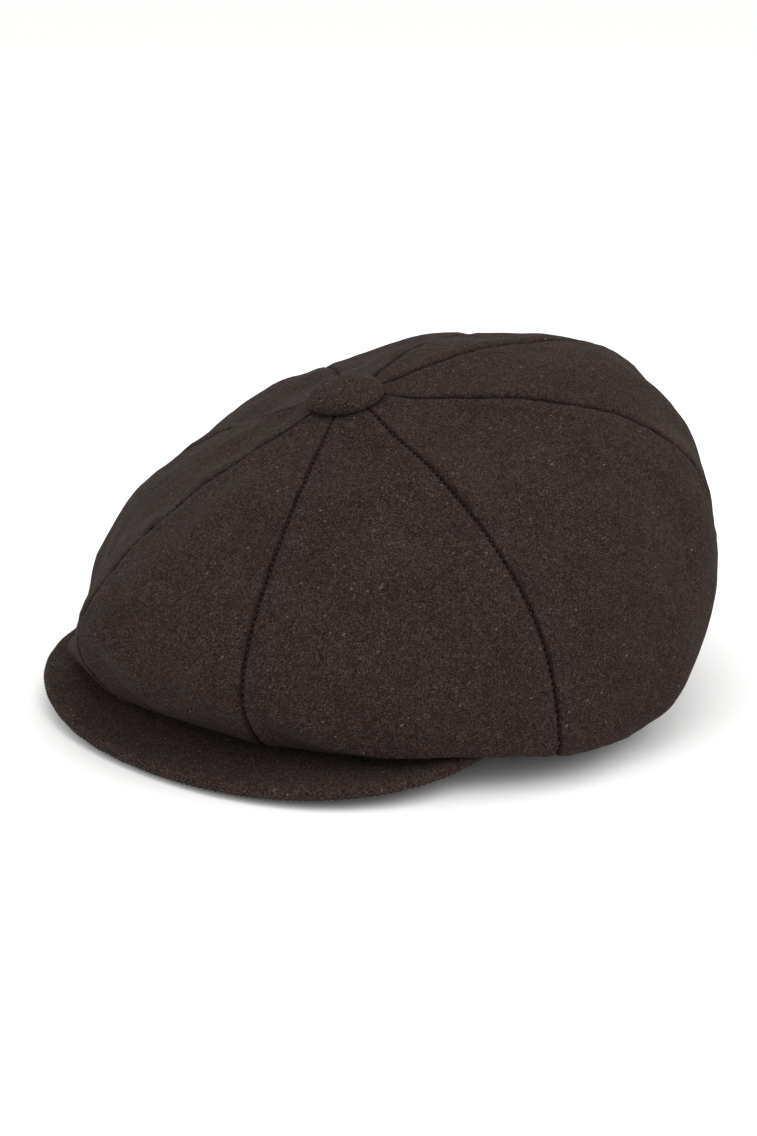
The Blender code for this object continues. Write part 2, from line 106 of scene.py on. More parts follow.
PEAK_FLARE_REACH = 0.35
PEAK_BOARD = 0.0012
PEAK_WOOL = 0.0011
PEAK_CLEARANCE = 0.0007
PEAK_SEAM = 0.0016
PEAK_LEAN = 0.0062                # the worn-in peak stands higher at the wearer's right
PEAK_LEAN_WIDTH = 0.052
PEAK_WIDER = 1.02                 # and reaches a little further out there
PEAK_CORNER = (0.0040, 0.0010)    # of the outline, from the end of the root
BUTTON_RADIUS = 0.0158
BUTTON_HEIGHT = 0.0080
BUTTON_RIM = 0.0012               # height of the dome's widest ring
BUTTON_WOOL = 0.0012
BUTTON_LIFT = 0.0018
BUTTON_LEAN = math.radians(15.0)
LINING_TOP = 0.0085
LINING_FOOT_Z = BAND_HEIGHT + 0.0006
LINING_HOLE = 0.0100
BAND_OUTSIDE = SWEATBAND_CLOTH + GAP + STIFFENER_SHEET + GAP + WOOL
PANEL_NAMES = ("front", "front_left", "left", "back_left",
               "back", "back_right", "right", "front_right")
UP = np.array([0.0, 0.0, 1.0])

# ---- Sewing details ---------------------------------------------------------------------
SEAM_DEPTH = 0.0017               # how far the cloth rolls down into a seam
SEAM_ROLL = 0.0009                # half width of that roll
SEAM_SHADE = 0.00075              # half width of the painted shade line at its bottom
SEAM_RIDGE = 0.0004               # the pressed-open allowance lifts the cloth beside the seam
SEAM_RIDGE_WIDTH = 0.0034
SEAM_ALLOWANCE = 0.0052
ALLOWANCE_EDGE = (0.0012, 0.0005)  # how far past the allowance the lift ends, and how softly
SEAM_FULL_REACH = 0.045           # seams are flatter nearer to the apex than this
PUCKER = 0.0005                   # small waves along each seam
PUCKER_WIDTH = 0.0075
EDGE_GAP = 0.0001                 # each side edge of a panel is drawn in by this
CROWN_WAVES = 0.00045
CROWN_RIPPLES = 0.00012
HEM_ROLL = 0.0012                 # how far the hem dips into the seam with the band
HEM_ROLL_WIDTH = 0.0014
HEM_SAG = 0.0020
HEM_CLEARANCE = 0.0002
# The crown rests on the peak out to a share of the peak's outline and back to a y, each
# given with the width of its fade
REST_REACH = (1.22, 0.20)
REST_BACK = (-0.030, 0.020)
REST_SOFTNESS = 0.0008
BUTTON_COVERS = 0.013             # no seam thread shows nearer to the apex than this
BUTTON_TOUCH = 0.0003             # between the drawn-up crown and the button's underside
BUTTON_RIM_SHARE = 0.87           # where the crown is drawn up, as a share of its radius
DRAWN_UP_WIDTH = 0.0080
BUTTON_PLEATS = 15
BUTTON_GATHER_HEIGHT = 0.0048
BAND_LIP = 0.0012                 # the bands' edges are rounded over this height
BAND_SEAM_WIDTH = 0.0012
SWEATBAND_STITCH_IN = 0.0022
TAB_CLOTH = 0.0007
LINING_SLACK = 0.0010
LINING_SEAM_WIDTH = 0.0016
SATIN_HALF = 0.0002
DISC_DROOP = 0.0011
DISC_CLOTH = 0.0006
EDGE_SCALLOP = 0.00022            # the stitches' waves along the peak's rim
PEAK_LEAST_RISE = 0.00006
STITCH_PITCH = 0.0026
THREAD = 0.00022

# ---- Spacing of the meshes --------------------------------------------------------------
ROW_STEP = 0.0021                 # of the crown's rows of faces
COLUMN_STEP = 0.0024
MEAN_RADIUS = 0.12
CLOSE_COLUMNS = (0.0, 0.5, 1.0, 1.5, 2.1, 2.8, 3.7, 4.8, 6.2, 8.0)  # millimetres from a seam
LINING_COLUMN_STEP = 0.0028
BAND_SEGMENTS = 300


# ---- Materials --------------------------------------------------------------------------
class Nodes:
    """A short way to write a node material on its Principled shader."""

    def __init__(self, name, **settings):
        self.material = bpy.data.materials.new(name)
        self.material.use_nodes = True
        self.tree = self.material.node_tree
        self.shader = self.tree.nodes["Principled BSDF"]
        self.output = self.tree.nodes["Material Output"]
        for socket, value in settings.items():
            self.shader.inputs[socket.replace("_", " ")].default_value = value

    def add(self, kind, settings=None, **links):
        node = self.tree.nodes.new(kind)
        for name, value in (settings or {}).items():
            if name in node.inputs:
                node.inputs[name].default_value = value
            else:
                setattr(node, name, value)
        for name, source in links.items():
            self.tree.links.new(source, node.inputs[name.replace("_", " ")])
        return node

    def put(self, value, socket):
        """Feeds a socket from another node's output or with a plain value."""
        if isinstance(value, bpy.types.NodeSocket):
            self.tree.links.new(value, socket)
        else:
            socket.default_value = value

    def place(self):
        return self.add("ShaderNodeTexCoord").outputs["Object"]

    def axes(self, vector):
        return self.add("ShaderNodeSeparateXYZ", Vector=vector).outputs

    def cloth_axes(self):
        """The cloth's own coordinates, kept as a UV map in metres."""
        return self.axes(self.add("ShaderNodeUVMap", {"uv_map": "cloth"}).outputs["UV"])

    def noise(self, vector, scale, detail=3.0, roughness=0.55):
        settings = {"Scale": scale, "Detail": detail, "Roughness": roughness}
        return self.add("ShaderNodeTexNoise", settings, Vector=vector).outputs["Fac"]

    def stretch(self, vector, scale, rotation=(0.0, 0.0, 0.0)):
        node = self.add("ShaderNodeMapping", Vector=vector)
        node.inputs["Scale"].default_value = scale
        node.inputs["Rotation"].default_value = rotation
        return node.outputs["Vector"]

    def ramp(self, value, *stops):
        """A ramp through (position, colour) stops."""
        node = self.add("ShaderNodeValToRGB", Fac=value)
        elements = node.color_ramp.elements
        while len(elements) < len(stops):
            elements.new(0.5)
        for element, (position, colour) in zip(elements, stops):
            element.position = position
            element.color = (*colour, 1.0)
        return node.outputs["Color"]

    def greys(self, value, *stops):
        """A ramp through (position, brightness) stops."""
        return self.ramp(value, *((position, (tone, tone, tone)) for position, tone in stops))

    def math(self, operation, *values):
        node = self.add("ShaderNodeMath", {"operation": operation})
        for value, socket in zip(values, node.inputs):
            self.put(value, socket)
        return node.outputs[0]

    def ribs(self, value, rate):
        return self.math("SINE", self.math("MULTIPLY", value, rate))

    def share(self, first, part, second):
        """A sum that is part the first value and the rest the second."""
        rest = self.math("MULTIPLY", second, 1.0 - part)
        return self.math("ADD", self.math("MULTIPLY", first, part), rest)

    def mix(self, factor, first, second, blend="MIX"):
        node = self.add("ShaderNodeMix", {"data_type": "RGBA", "blend_type": blend})
        for name, value in (("Factor", factor), ("A", first), ("B", second)):
            self.put(value, next(s for s in node.inputs if s.name == name and s.enabled))
        return next(s for s in node.outputs if s.enabled)

    def times(self, first, second):
        return self.mix(1.0, first, second, "MULTIPLY")

    def finish(self, colour, *bumps, roughness=None):
        """Links the colour, the roughness and a chain of (height, strength, distance) bumps."""
        self.put(colour, self.shader.inputs["Base Color"])
        if roughness is not None:
            self.put(roughness, self.shader.inputs["Roughness"])
        before = {}
        for height, strength, distance in bumps:
            settings = {"Strength": strength, "Distance": distance}
            bump = self.add("ShaderNodeBump", settings, Height=height, **before)
            before = {"Normal": bump.outputs["Normal"]}
        self.put(before["Normal"], self.shader.inputs["Normal"])
        return self.material


def melton(name, tone=1.0):
    """Felted wool: a short matted nap, marled fibres, a few pale lint specks, and painted shade
    along the crown's seams.
    """
    made = Nodes(name, Roughness=1.0, Specular_IOR_Level=0.05, Sheen_Weight=0.02,
                 Sheen_Roughness=0.45, Sheen_Tint=(0.80, 0.72, 0.66, 1.0))
    place = made.place()
    bent = made.mix(0.0016, place, made.noise(place, 260.0, 2.0), "ADD")
    fibre = made.noise(made.stretch(bent, (1.0, 0.6, 1.0), (0.3, 0.5, 0.2)), 2600.0, 3.0, 0.70)
    strand = made.noise(made.stretch(bent, (0.45, 1.0, 0.8), (0.9, 0.2, 1.1)), 2000.0, 3.0, 0.65)
    matting = made.noise(place, 560.0, 4.0, 0.62)
    tints = ((0.37, (0.0058, 0.0040, 0.0036)), (0.50, (0.0208, 0.0149, 0.0134)),
             (0.63, (0.0680, 0.0510, 0.0462)))
    # A tone above 1 paints the whole marl lighter; the peak's copy uses this as painted light.
    marl = [(position, [channel * tone for channel in tint]) for position, tint in tints]
    base = made.ramp(made.share(fibre, 0.55, strand), *marl)
    base = made.times(base, made.greys(matting, (0.30, 0.78), (0.70, 1.22)))
    base = made.times(base, made.greys(made.noise(place, 240.0), (0.32, 0.88), (0.68, 1.12)))
    drift = made.noise(place, 55.0, 3.0, 0.5)
    base = made.times(base, made.ramp(drift, (0.32, (0.93, 0.92, 0.92)), (0.68, (1.07, 1.07, 1.07))))
    hue = made.noise(place, 1300.0, 2.0)
    base = made.times(base, made.ramp(hue, (0.36, (0.97, 1.01, 1.0)), (0.66, (1.14, 0.93, 0.92))))
    specks = made.add("ShaderNodeTexVoronoi", {"Scale": 420.0},
                      Vector=made.stretch(bent, (1.0, 0.55, 0.8), (0.4, 0.9, 0.3))).outputs
    tiny = made.math("LESS_THAN", specks["Distance"], 0.15)
    channels = made.add("ShaderNodeSeparateColor", Color=specks["Color"]).outputs
    chosen = made.math("GREATER_THAN", channels[0], 0.86)
    lint = made.math("MULTIPLY", made.math("MULTIPLY", tiny, chosen), 0.60)
    base = made.mix(lint, base, (0.130, 0.102, 0.090, 1.0))
    # Painted shade: the wool turns almost black along each seam line, as if the groove lay in shade.
    seam = made.add("ShaderNodeAttribute", {"attribute_name": "painted_seam_shade"}).outputs["Fac"]
    base = made.mix(made.math("MULTIPLY", seam, 0.72), base, (0.0045, 0.0030, 0.0027, 1.0))
    return made.finish(base, (matting, 0.45, 0.00050), (strand, 0.55, 0.00028),
                       (fibre, 0.60, 0.00022))


def satin(name):
    """Smooth lining satin with a fine thread grain, and painted shade and highlight on its soft
    creases.
    """
    made = Nodes(name, Specular_IOR_Level=0.45, Sheen_Weight=0.10, Sheen_Roughness=0.35,
                 Sheen_Tint=(0.8, 0.7, 0.65, 1.0))
    place = made.place()
    grain = made.noise(made.stretch(place, (1.0, 1.0, 0.06)), 5200.0, 2.0)
    weft = made.noise(made.stretch(place, (0.10, 0.10, 1.0)), 3800.0, 2.0)
    crease_and_painted_shade = made.noise(place, 70.0)
    base = made.ramp(grain, (0.30, (0.020, 0.0135, 0.0118)), (0.70, (0.033, 0.0235, 0.0205)))
    # Painted shade and highlight: the satin is darker where its creases dip and lighter where they
    # rise.
    base = made.times(base, made.greys(crease_and_painted_shade, (0.3, 0.86), (0.7, 1.14)))
    return made.finish(base, (crease_and_painted_shade, 0.35, 0.0012), (grain, 0.30, 0.00010),
                       (weft, 0.30, 0.00010), roughness=made.greys(weft, (0.3, 0.34), (0.7, 0.50)))


def twill(name, dark, light, pitch=0.0011, slant=0.9):
    """Cotton twill: diagonal ribs."""
    made = Nodes(name, Roughness=0.78, Specular_IOR_Level=0.25, Sheen_Weight=0.15,
                 Sheen_Roughness=0.5)
    cloth = made.cloth_axes()
    along = made.math("ADD", cloth["X"], made.math("MULTIPLY", cloth["Y"], slant))
    rib = made.math("MULTIPLY_ADD", made.ribs(along, 2 * math.pi / pitch), 0.5, 0.5)
    thread = made.math("MULTIPLY_ADD", made.ribs(cloth["Y"], 4 * math.pi / pitch), 0.5, 0.5)
    fuzz = made.noise(made.place(), 2600.0)
    height = made.math("MULTIPLY", rib, made.math("MULTIPLY_ADD", thread, 0.35, 0.65))
    base = made.ramp(made.share(height, 0.6, fuzz), (0.20, dark), (0.75, light))
    return made.finish(base, (height, 0.6, 0.00025), (fuzz, 0.3, 0.00012))


def thread_look(name, colour):
    made = Nodes(name, Roughness=0.62, Specular_IOR_Level=0.30, Sheen_Weight=0.15)
    ply = made.noise(made.stretch(made.place(), (1.0, 1.0, 0.5), (0.7, 0.4, 0.0)), 5200.0, 2.0)
    darker = [channel * 0.55 for channel in colour]
    return made.finish(made.ramp(ply, (0.30, darker), (0.70, colour)), (ply, 0.5, 0.00008))


def fibreboard(name):
    made = Nodes(name, Roughness=0.6, Specular_IOR_Level=0.3)
    place = made.place()
    chip = made.noise(place, 900.0, 4.0, 0.7)
    flow = made.noise(made.stretch(place, (0.3, 1.0, 1.0)), 220.0, 2.0)
    base = made.ramp(made.share(chip, 0.6, flow), (0.30, (0.42, 0.40, 0.37)),
                     (0.70, (0.62, 0.60, 0.56)))
    return made.finish(base, (chip, 0.4, 0.00015))


def buckram(name):
    """Stiff open-weave cotton, pale with a size coating."""
    made = Nodes(name, Roughness=0.82, Specular_IOR_Level=0.25)
    place = made.place()
    axes = made.axes(place)
    warp = made.ribs(made.math("ARCTAN2", axes["X"], axes["Y"]), 900.0)
    weft = made.ribs(axes["Z"], 9000.0)
    weave = made.math("MULTIPLY_ADD", made.math("MAXIMUM", warp, weft), 0.5, 0.5)
    blot = made.noise(place, 300.0)
    base = made.ramp(made.share(weave, 0.6, blot), (0.25, (0.40, 0.37, 0.30)),
                     (0.80, (0.66, 0.63, 0.55)))
    return made.finish(base, (weave, 0.5, 0.0002))


def pressed_metal(name):
    made = Nodes(name, Metallic=1.0)
    place = made.place()
    brushed = made.noise(made.stretch(place, (1.0, 1.0, 0.2)), 2400.0)
    base = made.ramp(made.noise(place, 350.0), (0.35, (0.42, 0.41, 0.39)),
                     (0.65, (0.62, 0.62, 0.61)))
    return made.finish(base, (brushed, 0.25, 0.00006),
                       roughness=made.greys(brushed, (0.3, 0.28), (0.7, 0.46)))


def woven_label(name):
    made = Nodes(name, Roughness=0.66, Specular_IOR_Level=0.3, Sheen_Weight=0.2)
    cloth = made.cloth_axes()
    warp = made.ribs(cloth["X"], 2 * math.pi / 0.0005)
    weft = made.ribs(cloth["Y"], 2 * math.pi / 0.0004)
    weave = made.math("MULTIPLY_ADD", made.math("MULTIPLY", warp, weft), 0.5, 0.5)
    base = made.ramp(made.share(weave, 0.4, made.noise(made.place(), 400.0)),
                     (0.25, (0.44, 0.41, 0.35)), (0.75, (0.60, 0.57, 0.50)))
    return made.finish(base, (weave, 0.5, 0.00012))


LOOKS = {
    "crown": melton("melton_wool"),
    # Painted light: the peak is the same wool as the crown, painted 1.15 times lighter to brighten
    # it beyond what the lamps give.
    "peak": melton("melton_wool_peak_painted_lighter", 1.15),
    "satin": satin("lining_satin"),
    "twill": twill("sweatband_twill", (0.008, 0.006, 0.0055), (0.026, 0.020, 0.018)),
    "thread": thread_look("sewing_thread", (0.020, 0.014, 0.012)),
    "label": woven_label("woven_tab"),
    "board": fibreboard("peak_board"),
    "buckram": buckram("buckram"),
    "metal": pressed_metal("button_metal"),
}


# ---- Mesh helpers -----------------------------------------------------------------------
def put_in_scene(name, data):
    made = bpy.data.objects.new(name, data)
    bpy.context.scene.collection.objects.link(made)
    return made


def add_piece(name, points, faces, look, body, uv=None, painted_seam_shade=None):
    """A mesh in the frame's own place that rides on a body."""
    mesh = bpy.data.meshes.new(name)
    mesh.from_pydata(points.tolist(), [], faces)
    mesh.update()
    if uv is not None:
        layer = mesh.uv_layers.new(name="cloth")
        corners = np.zeros(len(mesh.loops), np.int32)
        mesh.loops.foreach_get("vertex_index", corners)
        layer.data.foreach_set("uv", uv[corners].astype(np.float32).ravel())
    # Weights of the painted seam shade, read by the wool's material.
    if painted_seam_shade is not None:
        painted_shade_layer = mesh.attributes.new("painted_seam_shade", "FLOAT", "POINT")
        painted_shade_layer.data.foreach_set("value", painted_seam_shade.astype(np.float32).ravel())
    mesh.shade_smooth()
    mesh.set_sharp_from_angle(angle=math.radians(60.0))
    mesh.materials.append(LOOKS[look])
    made = put_in_scene(name, mesh)
    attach(made, body)
    return made


def grid_faces(rows, columns, closed, start=0, flip=False):
    faces = []
    for i in range(rows - 1):
        for j in range(columns if closed else columns - 1):
            k = (j + 1) % columns
            face = (start + i * columns + j, start + i * columns + k,
                    start + (i + 1) * columns + k, start + (i + 1) * columns + j)
            faces.append(face[::-1] if flip else face)
    return faces


def cloth_body(outer, inner, closed=False):
    """Points and faces of a thin closed body between two grids of the same layout."""
    rows, columns = outer.shape[:2]
    count = rows * columns
    faces = grid_faces(rows, columns, closed, 0, True)
    faces += grid_faces(rows, columns, closed, count, False)
    across = [(i * columns + j, i * columns + (j + 1) % columns, flip)
              for i, flip in ((0, False), (rows - 1, True))
              for j in range(columns if closed else columns - 1)]
    down = [(i * columns + j, (i + 1) * columns + j, flip)
            for j, flip in ((0, True), (columns - 1, False))
            for i in range(rows - 1)]
    for a, b, flip in across + ([] if closed else down):
        face = (a, b, count + b, count + a)
        faces.append(face[::-1] if flip else face)
    return np.concatenate([outer.reshape(-1, 3), inner.reshape(-1, 3)]), faces


def add_cloth(name, outer, inner, look, node, body="crown", closed=False, flip=False,
              uv=None, painted_seam_shade=None):
    """The cloth between two grids, in the place of a CAD node; uv and the painted seam shade are for
    one grid.
    """
    points, faces = cloth_body(outer, inner, closed)
    if flip:
        faces = [face[::-1] for face in faces]
    uv, painted_seam_shade = (None if one is None else np.concatenate([one, one]) for one in (uv, painted_seam_shade))
    made = add_piece(name, points, faces, look, body, uv, painted_seam_shade)
    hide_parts(node)
    return made


def lengths_down(points):
    """Distance from the first point, along a path or down each column of a grid."""
    steps = np.linalg.norm(np.diff(points, axis=0), axis=-1)
    return np.concatenate([np.zeros_like(steps[:1]), np.cumsum(steps, axis=0)])


def points_on(path, walked, where):
    """Points at the given distances along a path."""
    columns = [np.interp(where, walked, values) for values in path.T]
    return np.stack(columns, axis=-1)


def unit(vectors):
    return vectors / np.maximum(np.linalg.norm(vectors, axis=-1, keepdims=True), 1e-12)


def limited(value):
    return np.clip(value, 0.0, 1.0)


def smooth_step(value):
    share = limited(value)
    return share * share * (3.0 - 2.0 * share)


def bell(value):
    return np.exp(-value ** 2)


def wander(points, scale, seed, octaves=3):
    """Smooth noise from about -1 to 1 at each point, with features of about 1 / scale."""
    flat = points.reshape(-1, 3) * scale + np.array([seed * 17.3, seed * 5.1, -seed * 9.7])
    values = [noise.fractal(Vector(p), 0.9, 2.1, octaves) for p in flat]
    return np.array(values).reshape(points.shape[:-1])


# ---- Shape of the crown -----------------------------------------------------------------
def bezier(p0, p1, p2, p3, t):
    u = 1.0 - t
    return u * u * u * p0 + 3 * u * u * t * p1 + 3 * u * t * t * p2 + t * t * t * p3


def around(phi, front_side_back, skew=0.0):
    """A value that changes smoothly round the crown between its front, side and back."""
    front, side, back = front_side_back
    mean = (front + back) / 4 + side / 2
    oval = (front + back) / 4 - side / 2
    value = mean + (front - back) / 2 * np.cos(phi) + oval * np.cos(2 * phi)
    return value + skew * (np.cos(3 * phi) - np.cos(phi))


def turn_from(phi, angle):
    return np.abs(np.remainder(phi - angle + math.pi, 2 * math.pi) - math.pi)


def near_angle(phi, angle, spread):
    """1 at an angle on either side of the front, and 0 well away from it."""
    return bell((turn_from(phi, 0.0) - angle) / spread)


def outwards(phi):
    return np.stack([np.sin(phi), -np.cos(phi), 0.0 * phi], axis=-1)


def from_apex(points):
    """Level distance from the apex."""
    return np.hypot(points[..., 0] - APEX[0], points[..., 1] - APEX[1])


def band_point(phi, grow, z):
    """Where the direction phi from the apex meets an oval round the head opening."""
    width = HEAD_HALF_WIDTH + grow
    length = HEAD_HALF_LENGTH + grow
    back = -APEX[1]
    a = (np.sin(phi) / width) ** 2 + (np.cos(phi) / length) ** 2
    b = np.cos(phi) * back / length ** 2
    c = (back / length) ** 2 - 1.0
    reach = (-b + np.sqrt(b * b - a * c)) / a
    z = z + np.zeros_like(reach)
    return np.stack([reach * np.sin(phi), APEX[1] - reach * np.cos(phi), z], axis=-1)


# A soft cap never stands quite evenly: each row is (angle, spread, t, spread in t, how far
# the cloth stands out there)
LEANS = (
    (-46, 15, 0.85, 0.24, -0.0055),
    (-75, 15, 0.75, 0.28, 0.0022),
    (-104, 15, 0.57, 0.25, -0.0022),
    (-138, 18, 0.48, 0.25, -0.0054),
    (-172, 17, 0.47, 0.24, -0.0032),
    (164, 13, 0.63, 0.20, 0.0024),
    (142, 14, 0.90, 0.22, -0.0060),
    (124, 14, 1.27, 0.24, 0.0006),
    (84, 22, 1.20, 0.75, 0.0048),
    (-34, 26, 1.95, 0.50, 0.0034),
)
LEANS_BELOW = 0.2                 # t under which the leans fade out towards the apex


def lean_of(phi, t):
    """How far the standing cap is off its even shape, over a grid."""
    stands = 0.0
    for angle, spread, middle, reach, out in LEANS:
        turn = turn_from(phi[None, :], math.radians(angle)) / math.radians(spread)
        stands = stands + out * np.exp(-turn ** 2 - ((t[:, None] - middle) / reach) ** 2)
    return stands * limited(t[:, None] / LEANS_BELOW)


def drawn_up(points):
    """Crown points pulled up against the underside of the button's rim."""
    axis = np.array([0.0, -math.sin(BUTTON_LEAN), math.cos(BUTTON_LEAN)])
    above = (points - APEX) @ axis
    reach = np.sqrt(np.maximum(((points - APEX) ** 2).sum(axis=-1) - above ** 2, 0.0))
    ring = bell((reach - BUTTON_RIM_SHARE * BUTTON_RADIUS) / DRAWN_UP_WIDTH)
    lift = np.clip(BUTTON_LIFT - BUTTON_TOUCH - above, 0.0, None) * ring
    return points + axis * lift[..., None]


def crown_profile(phi, t):
    """Radius and height from the apex."""
    quarter = near_angle(phi, QUARTER_ANGLE, QUARTER_SPREAD)
    corner = near_angle(phi, FRONT_CORNER, FRONT_CORNER_SPREAD)
    radius = around(phi, BULGE_RADIUS, BULGE_SKEW)
    fold_depth = around(phi, FOLD_DEPTH) - FRONT_CORNER_LIFT * corner
    drop = fold_depth - around(phi, BULGE_DEPTH) + QUARTER_LIFT * quarter
    drop = (drop + np.hypot(drop, 2 * LEAST_WALL)) / 2
    depth = fold_depth - drop
    fold_radius = radius - around(phi, FOLD_INSET) - QUARTER_TUCK * quarter
    rise = around(phi, APEX_RISE)
    reach = around(phi, APEX_REACH) * radius
    upright = around(phi, BULGE_REACH) * depth
    top = limited(t)
    top_r = bezier(0.0, reach * np.cos(rise), radius, radius, top)
    top_z = bezier(0.0, reach * np.sin(rise), upright - depth, -depth, top)
    down = limited(t - 1.0)
    wall = LOWER_WALL_REACH * drop
    fold_reach = FOLD_REACH * drop / (0.8 * drop + FOLD_REACH)
    wide = fold_radius + fold_reach * math.cos(FOLD_ANGLE)
    wall_r = bezier(radius, radius, wide, fold_radius, down)
    low = fold_reach * math.sin(FOLD_ANGLE) - fold_depth
    wall_z = bezier(-depth, -depth - wall, low, -fold_depth, down)
    return np.where(t <= 1.0, top_r, wall_r), np.where(t <= 1.0, top_z, wall_z)


def crown_points(phi, t):
    """The crown's smooth outside as a grid: rows are t, columns are phi."""
    phi = np.asarray(phi, float)[None, :]
    t = np.asarray(t, float)[:, None]
    outward = outwards(phi)

    def on_crown(at):
        r, z = crown_profile(phi, at + 0.0 * phi)
        return APEX + outward * r[..., None] + UP * z[..., None]

    fold = on_crown(2.0)
    band = band_point(phi, BAND_OUTSIDE + HEM_CLEARANCE, HEM_Z)
    width = np.linalg.norm(fold - band, axis=-1, keepdims=True)
    near_fold = fold - outward * 0.15 * width + UP * HEM_SAG
    near_band = band + outward * 0.30 * width - UP * HEM_SAG
    hem = bezier(fold, near_fold, near_band, band, limited(t - 2.0)[..., None])
    return np.where((t > 2.0)[..., None], hem, on_crown(np.minimum(t, 2.0)))


def grid_normals(points):
    """Outward normals of a crown grid."""
    return unit(np.cross(np.gradient(points, axis=0), np.gradient(points, axis=1)))


def panel_limits(index):
    """The angles of a panel's two seams."""
    half = list(SEAM_ANGLES)
    seams = half + [2 * math.pi - angle for angle in reversed(half)]
    if index == 0:
        return seams[-1] - 2 * math.pi, seams[0]
    return seams[index - 1], seams[index]


def crown_rows(step):
    """Values of t from the apex hole to the end of the hem, evenly spaced on average."""
    fine = np.linspace(0.0, 3.0, 601)
    columns = crown_points(np.linspace(0.0, 2 * math.pi, 24, endpoint=False), fine)
    length = lengths_down(columns).mean(axis=1)
    reach = from_apex(columns).mean(axis=1)
    start = np.interp(APEX_HOLE, reach[:150], length[:150])
    count = max(8, round((length[-1] - start) / step))
    return np.interp(np.linspace(start, length[-1], count + 1), length, fine)


# ---- Cloth simulation of the whole crown ------------------------------------------------
SIM_COLUMNS = (9, 11, 11, 9, 7, 9, 11, 11)
SIM_ROWS = 40
SIM_FRAMES = 26
SIM_GROWTH = 0.018                # how much larger the cloth is than the sewn shape
SIM_NUDGE = 0.0009                # uneven start, so that the slack falls into natural folds
SIM_LIMIT = 0.0042                # the most that the cloth is let move
SIM_CLOTH = {"quality": 8, "mass": 0.25, "tension_stiffness": 18.0, "compression_stiffness": 14.0,
             "shear_stiffness": 6.0, "bending_stiffness": 1.2, "air_damping": 2.0,
             "vertex_group_mass": "sewn", "shrink_min": -SIM_GROWTH, "use_pressure": True,
             "uniform_pressure_force": 2.2}
SIM_GRAVITY = 0.2


def simulate_crown():
    """How far each point of a coarse crown moves when the sewn cloth settles."""
    angles = []
    for index, count in enumerate(SIM_COLUMNS):
        first, last = panel_limits(index)
        angles += [first + (last - first) * j / count for j in range(count)]
    angles = np.array(angles)
    rows = np.interp(np.linspace(0, 1, SIM_ROWS + 1), [0.0, 0.78, 1.0], [0.06, 2.0, 3.0])
    start = crown_points(angles, rows)
    normals = unit(np.cross(np.gradient(start, axis=0),
                            np.roll(start, -1, axis=1) - np.roll(start, 1, axis=1)))
    free = np.ones(start.shape[:2])
    free[:, np.cumsum((0,) + SIM_COLUMNS[:-1])] = 0.0
    free[:3] = 0.0
    free[rows > 1.9] = 0.0
    nudge = wander(start, 38.0, 3, 2) * SIM_NUDGE * free
    points = start + normals * nudge[..., None]
    mesh = bpy.data.meshes.new("settling_cloth")
    mesh.from_pydata(points.reshape(-1, 3).tolist(), [], grid_faces(*free.shape, True, 0, True))
    mesh.update()
    sewn_crown = put_in_scene("settling_cloth", mesh)
    pins = sewn_crown.vertex_groups.new(name="sewn")
    for i in np.flatnonzero(free < 0.5):
        pins.add([int(i)], 1.0, "REPLACE")
    cloth = sewn_crown.modifiers.new("cloth", "CLOTH")
    for name, value in SIM_CLOTH.items():
        setattr(cloth.settings, name, value)
    cloth.settings.effector_weights.gravity = SIM_GRAVITY
    cloth.collision_settings.use_collision = False
    cloth.point_cache.frame_start = 1
    cloth.point_cache.frame_end = SIM_FRAMES
    scene = bpy.context.scene
    for step in range(1, SIM_FRAMES + 1):
        scene.frame_set(step)
    settled = sewn_crown.evaluated_get(bpy.context.evaluated_depsgraph_get())
    found = np.zeros(start.size)
    settled.data.vertices.foreach_get("co", found)
    scene.frame_set(1)
    bpy.data.objects.remove(sewn_crown)
    moved = found.reshape(start.shape) - start
    size = np.linalg.norm(moved, axis=-1, keepdims=True)
    moved *= SIM_LIMIT * np.tanh(size / SIM_LIMIT) / np.maximum(size, 1e-9)
    moved *= smooth_step((2.0 - rows) / 0.5)[:, None, None]
    return angles, rows, moved


def spline_weights(where, count, closed):
    """Cubic B-spline weights that blend a row of values at places given in their index."""
    weights = np.zeros((len(where), count))
    whole = np.floor(where).astype(int)
    u = where - whole
    basis = ((1 - u) ** 3 / 6, (3 * u ** 3 - 6 * u ** 2 + 4) / 6,
             (-3 * u ** 3 + 3 * u ** 2 + 3 * u + 1) / 6, u ** 3 / 6)
    for offset, values in zip((-1, 0, 1, 2), basis):
        index = whole + offset
        index = index % count if closed else np.clip(index, 0, count - 1)
        np.add.at(weights, (np.arange(len(where)), index), values)
    return weights


ANGLES, ROWS, SETTLED = simulate_crown()


def settled_at(phi, t):
    """The simulated movement, blended smoothly onto a finer grid."""
    loop = np.append(ANGLES, ANGLES[0] + 2 * math.pi)
    phi = np.where(phi < loop[0], phi + 2 * math.pi, phi)
    column = np.interp(phi, loop, np.arange(len(loop)))
    row = np.interp(t, ROWS, np.arange(len(ROWS)))
    across = spline_weights(column, len(ANGLES), True)
    down = spline_weights(row, len(ROWS), False)
    return np.einsum("ri,cj,ijk->rck", down, across, SETTLED)


# ---- Crown panels -----------------------------------------------------------------------
def panel_columns(start, end):
    """Angles across a panel, close together beside its seams."""
    close = np.array(CLOSE_COLUMNS) / 1000 / MEAN_RADIUS
    middle = (end - start) - 2 * close[-1]
    count = max(6, round(middle * MEAN_RADIUS / COLUMN_STEP))
    inside = start + close[-1] + middle * np.arange(1, count) / count
    return np.concatenate([start + close, inside, end - close[::-1]])


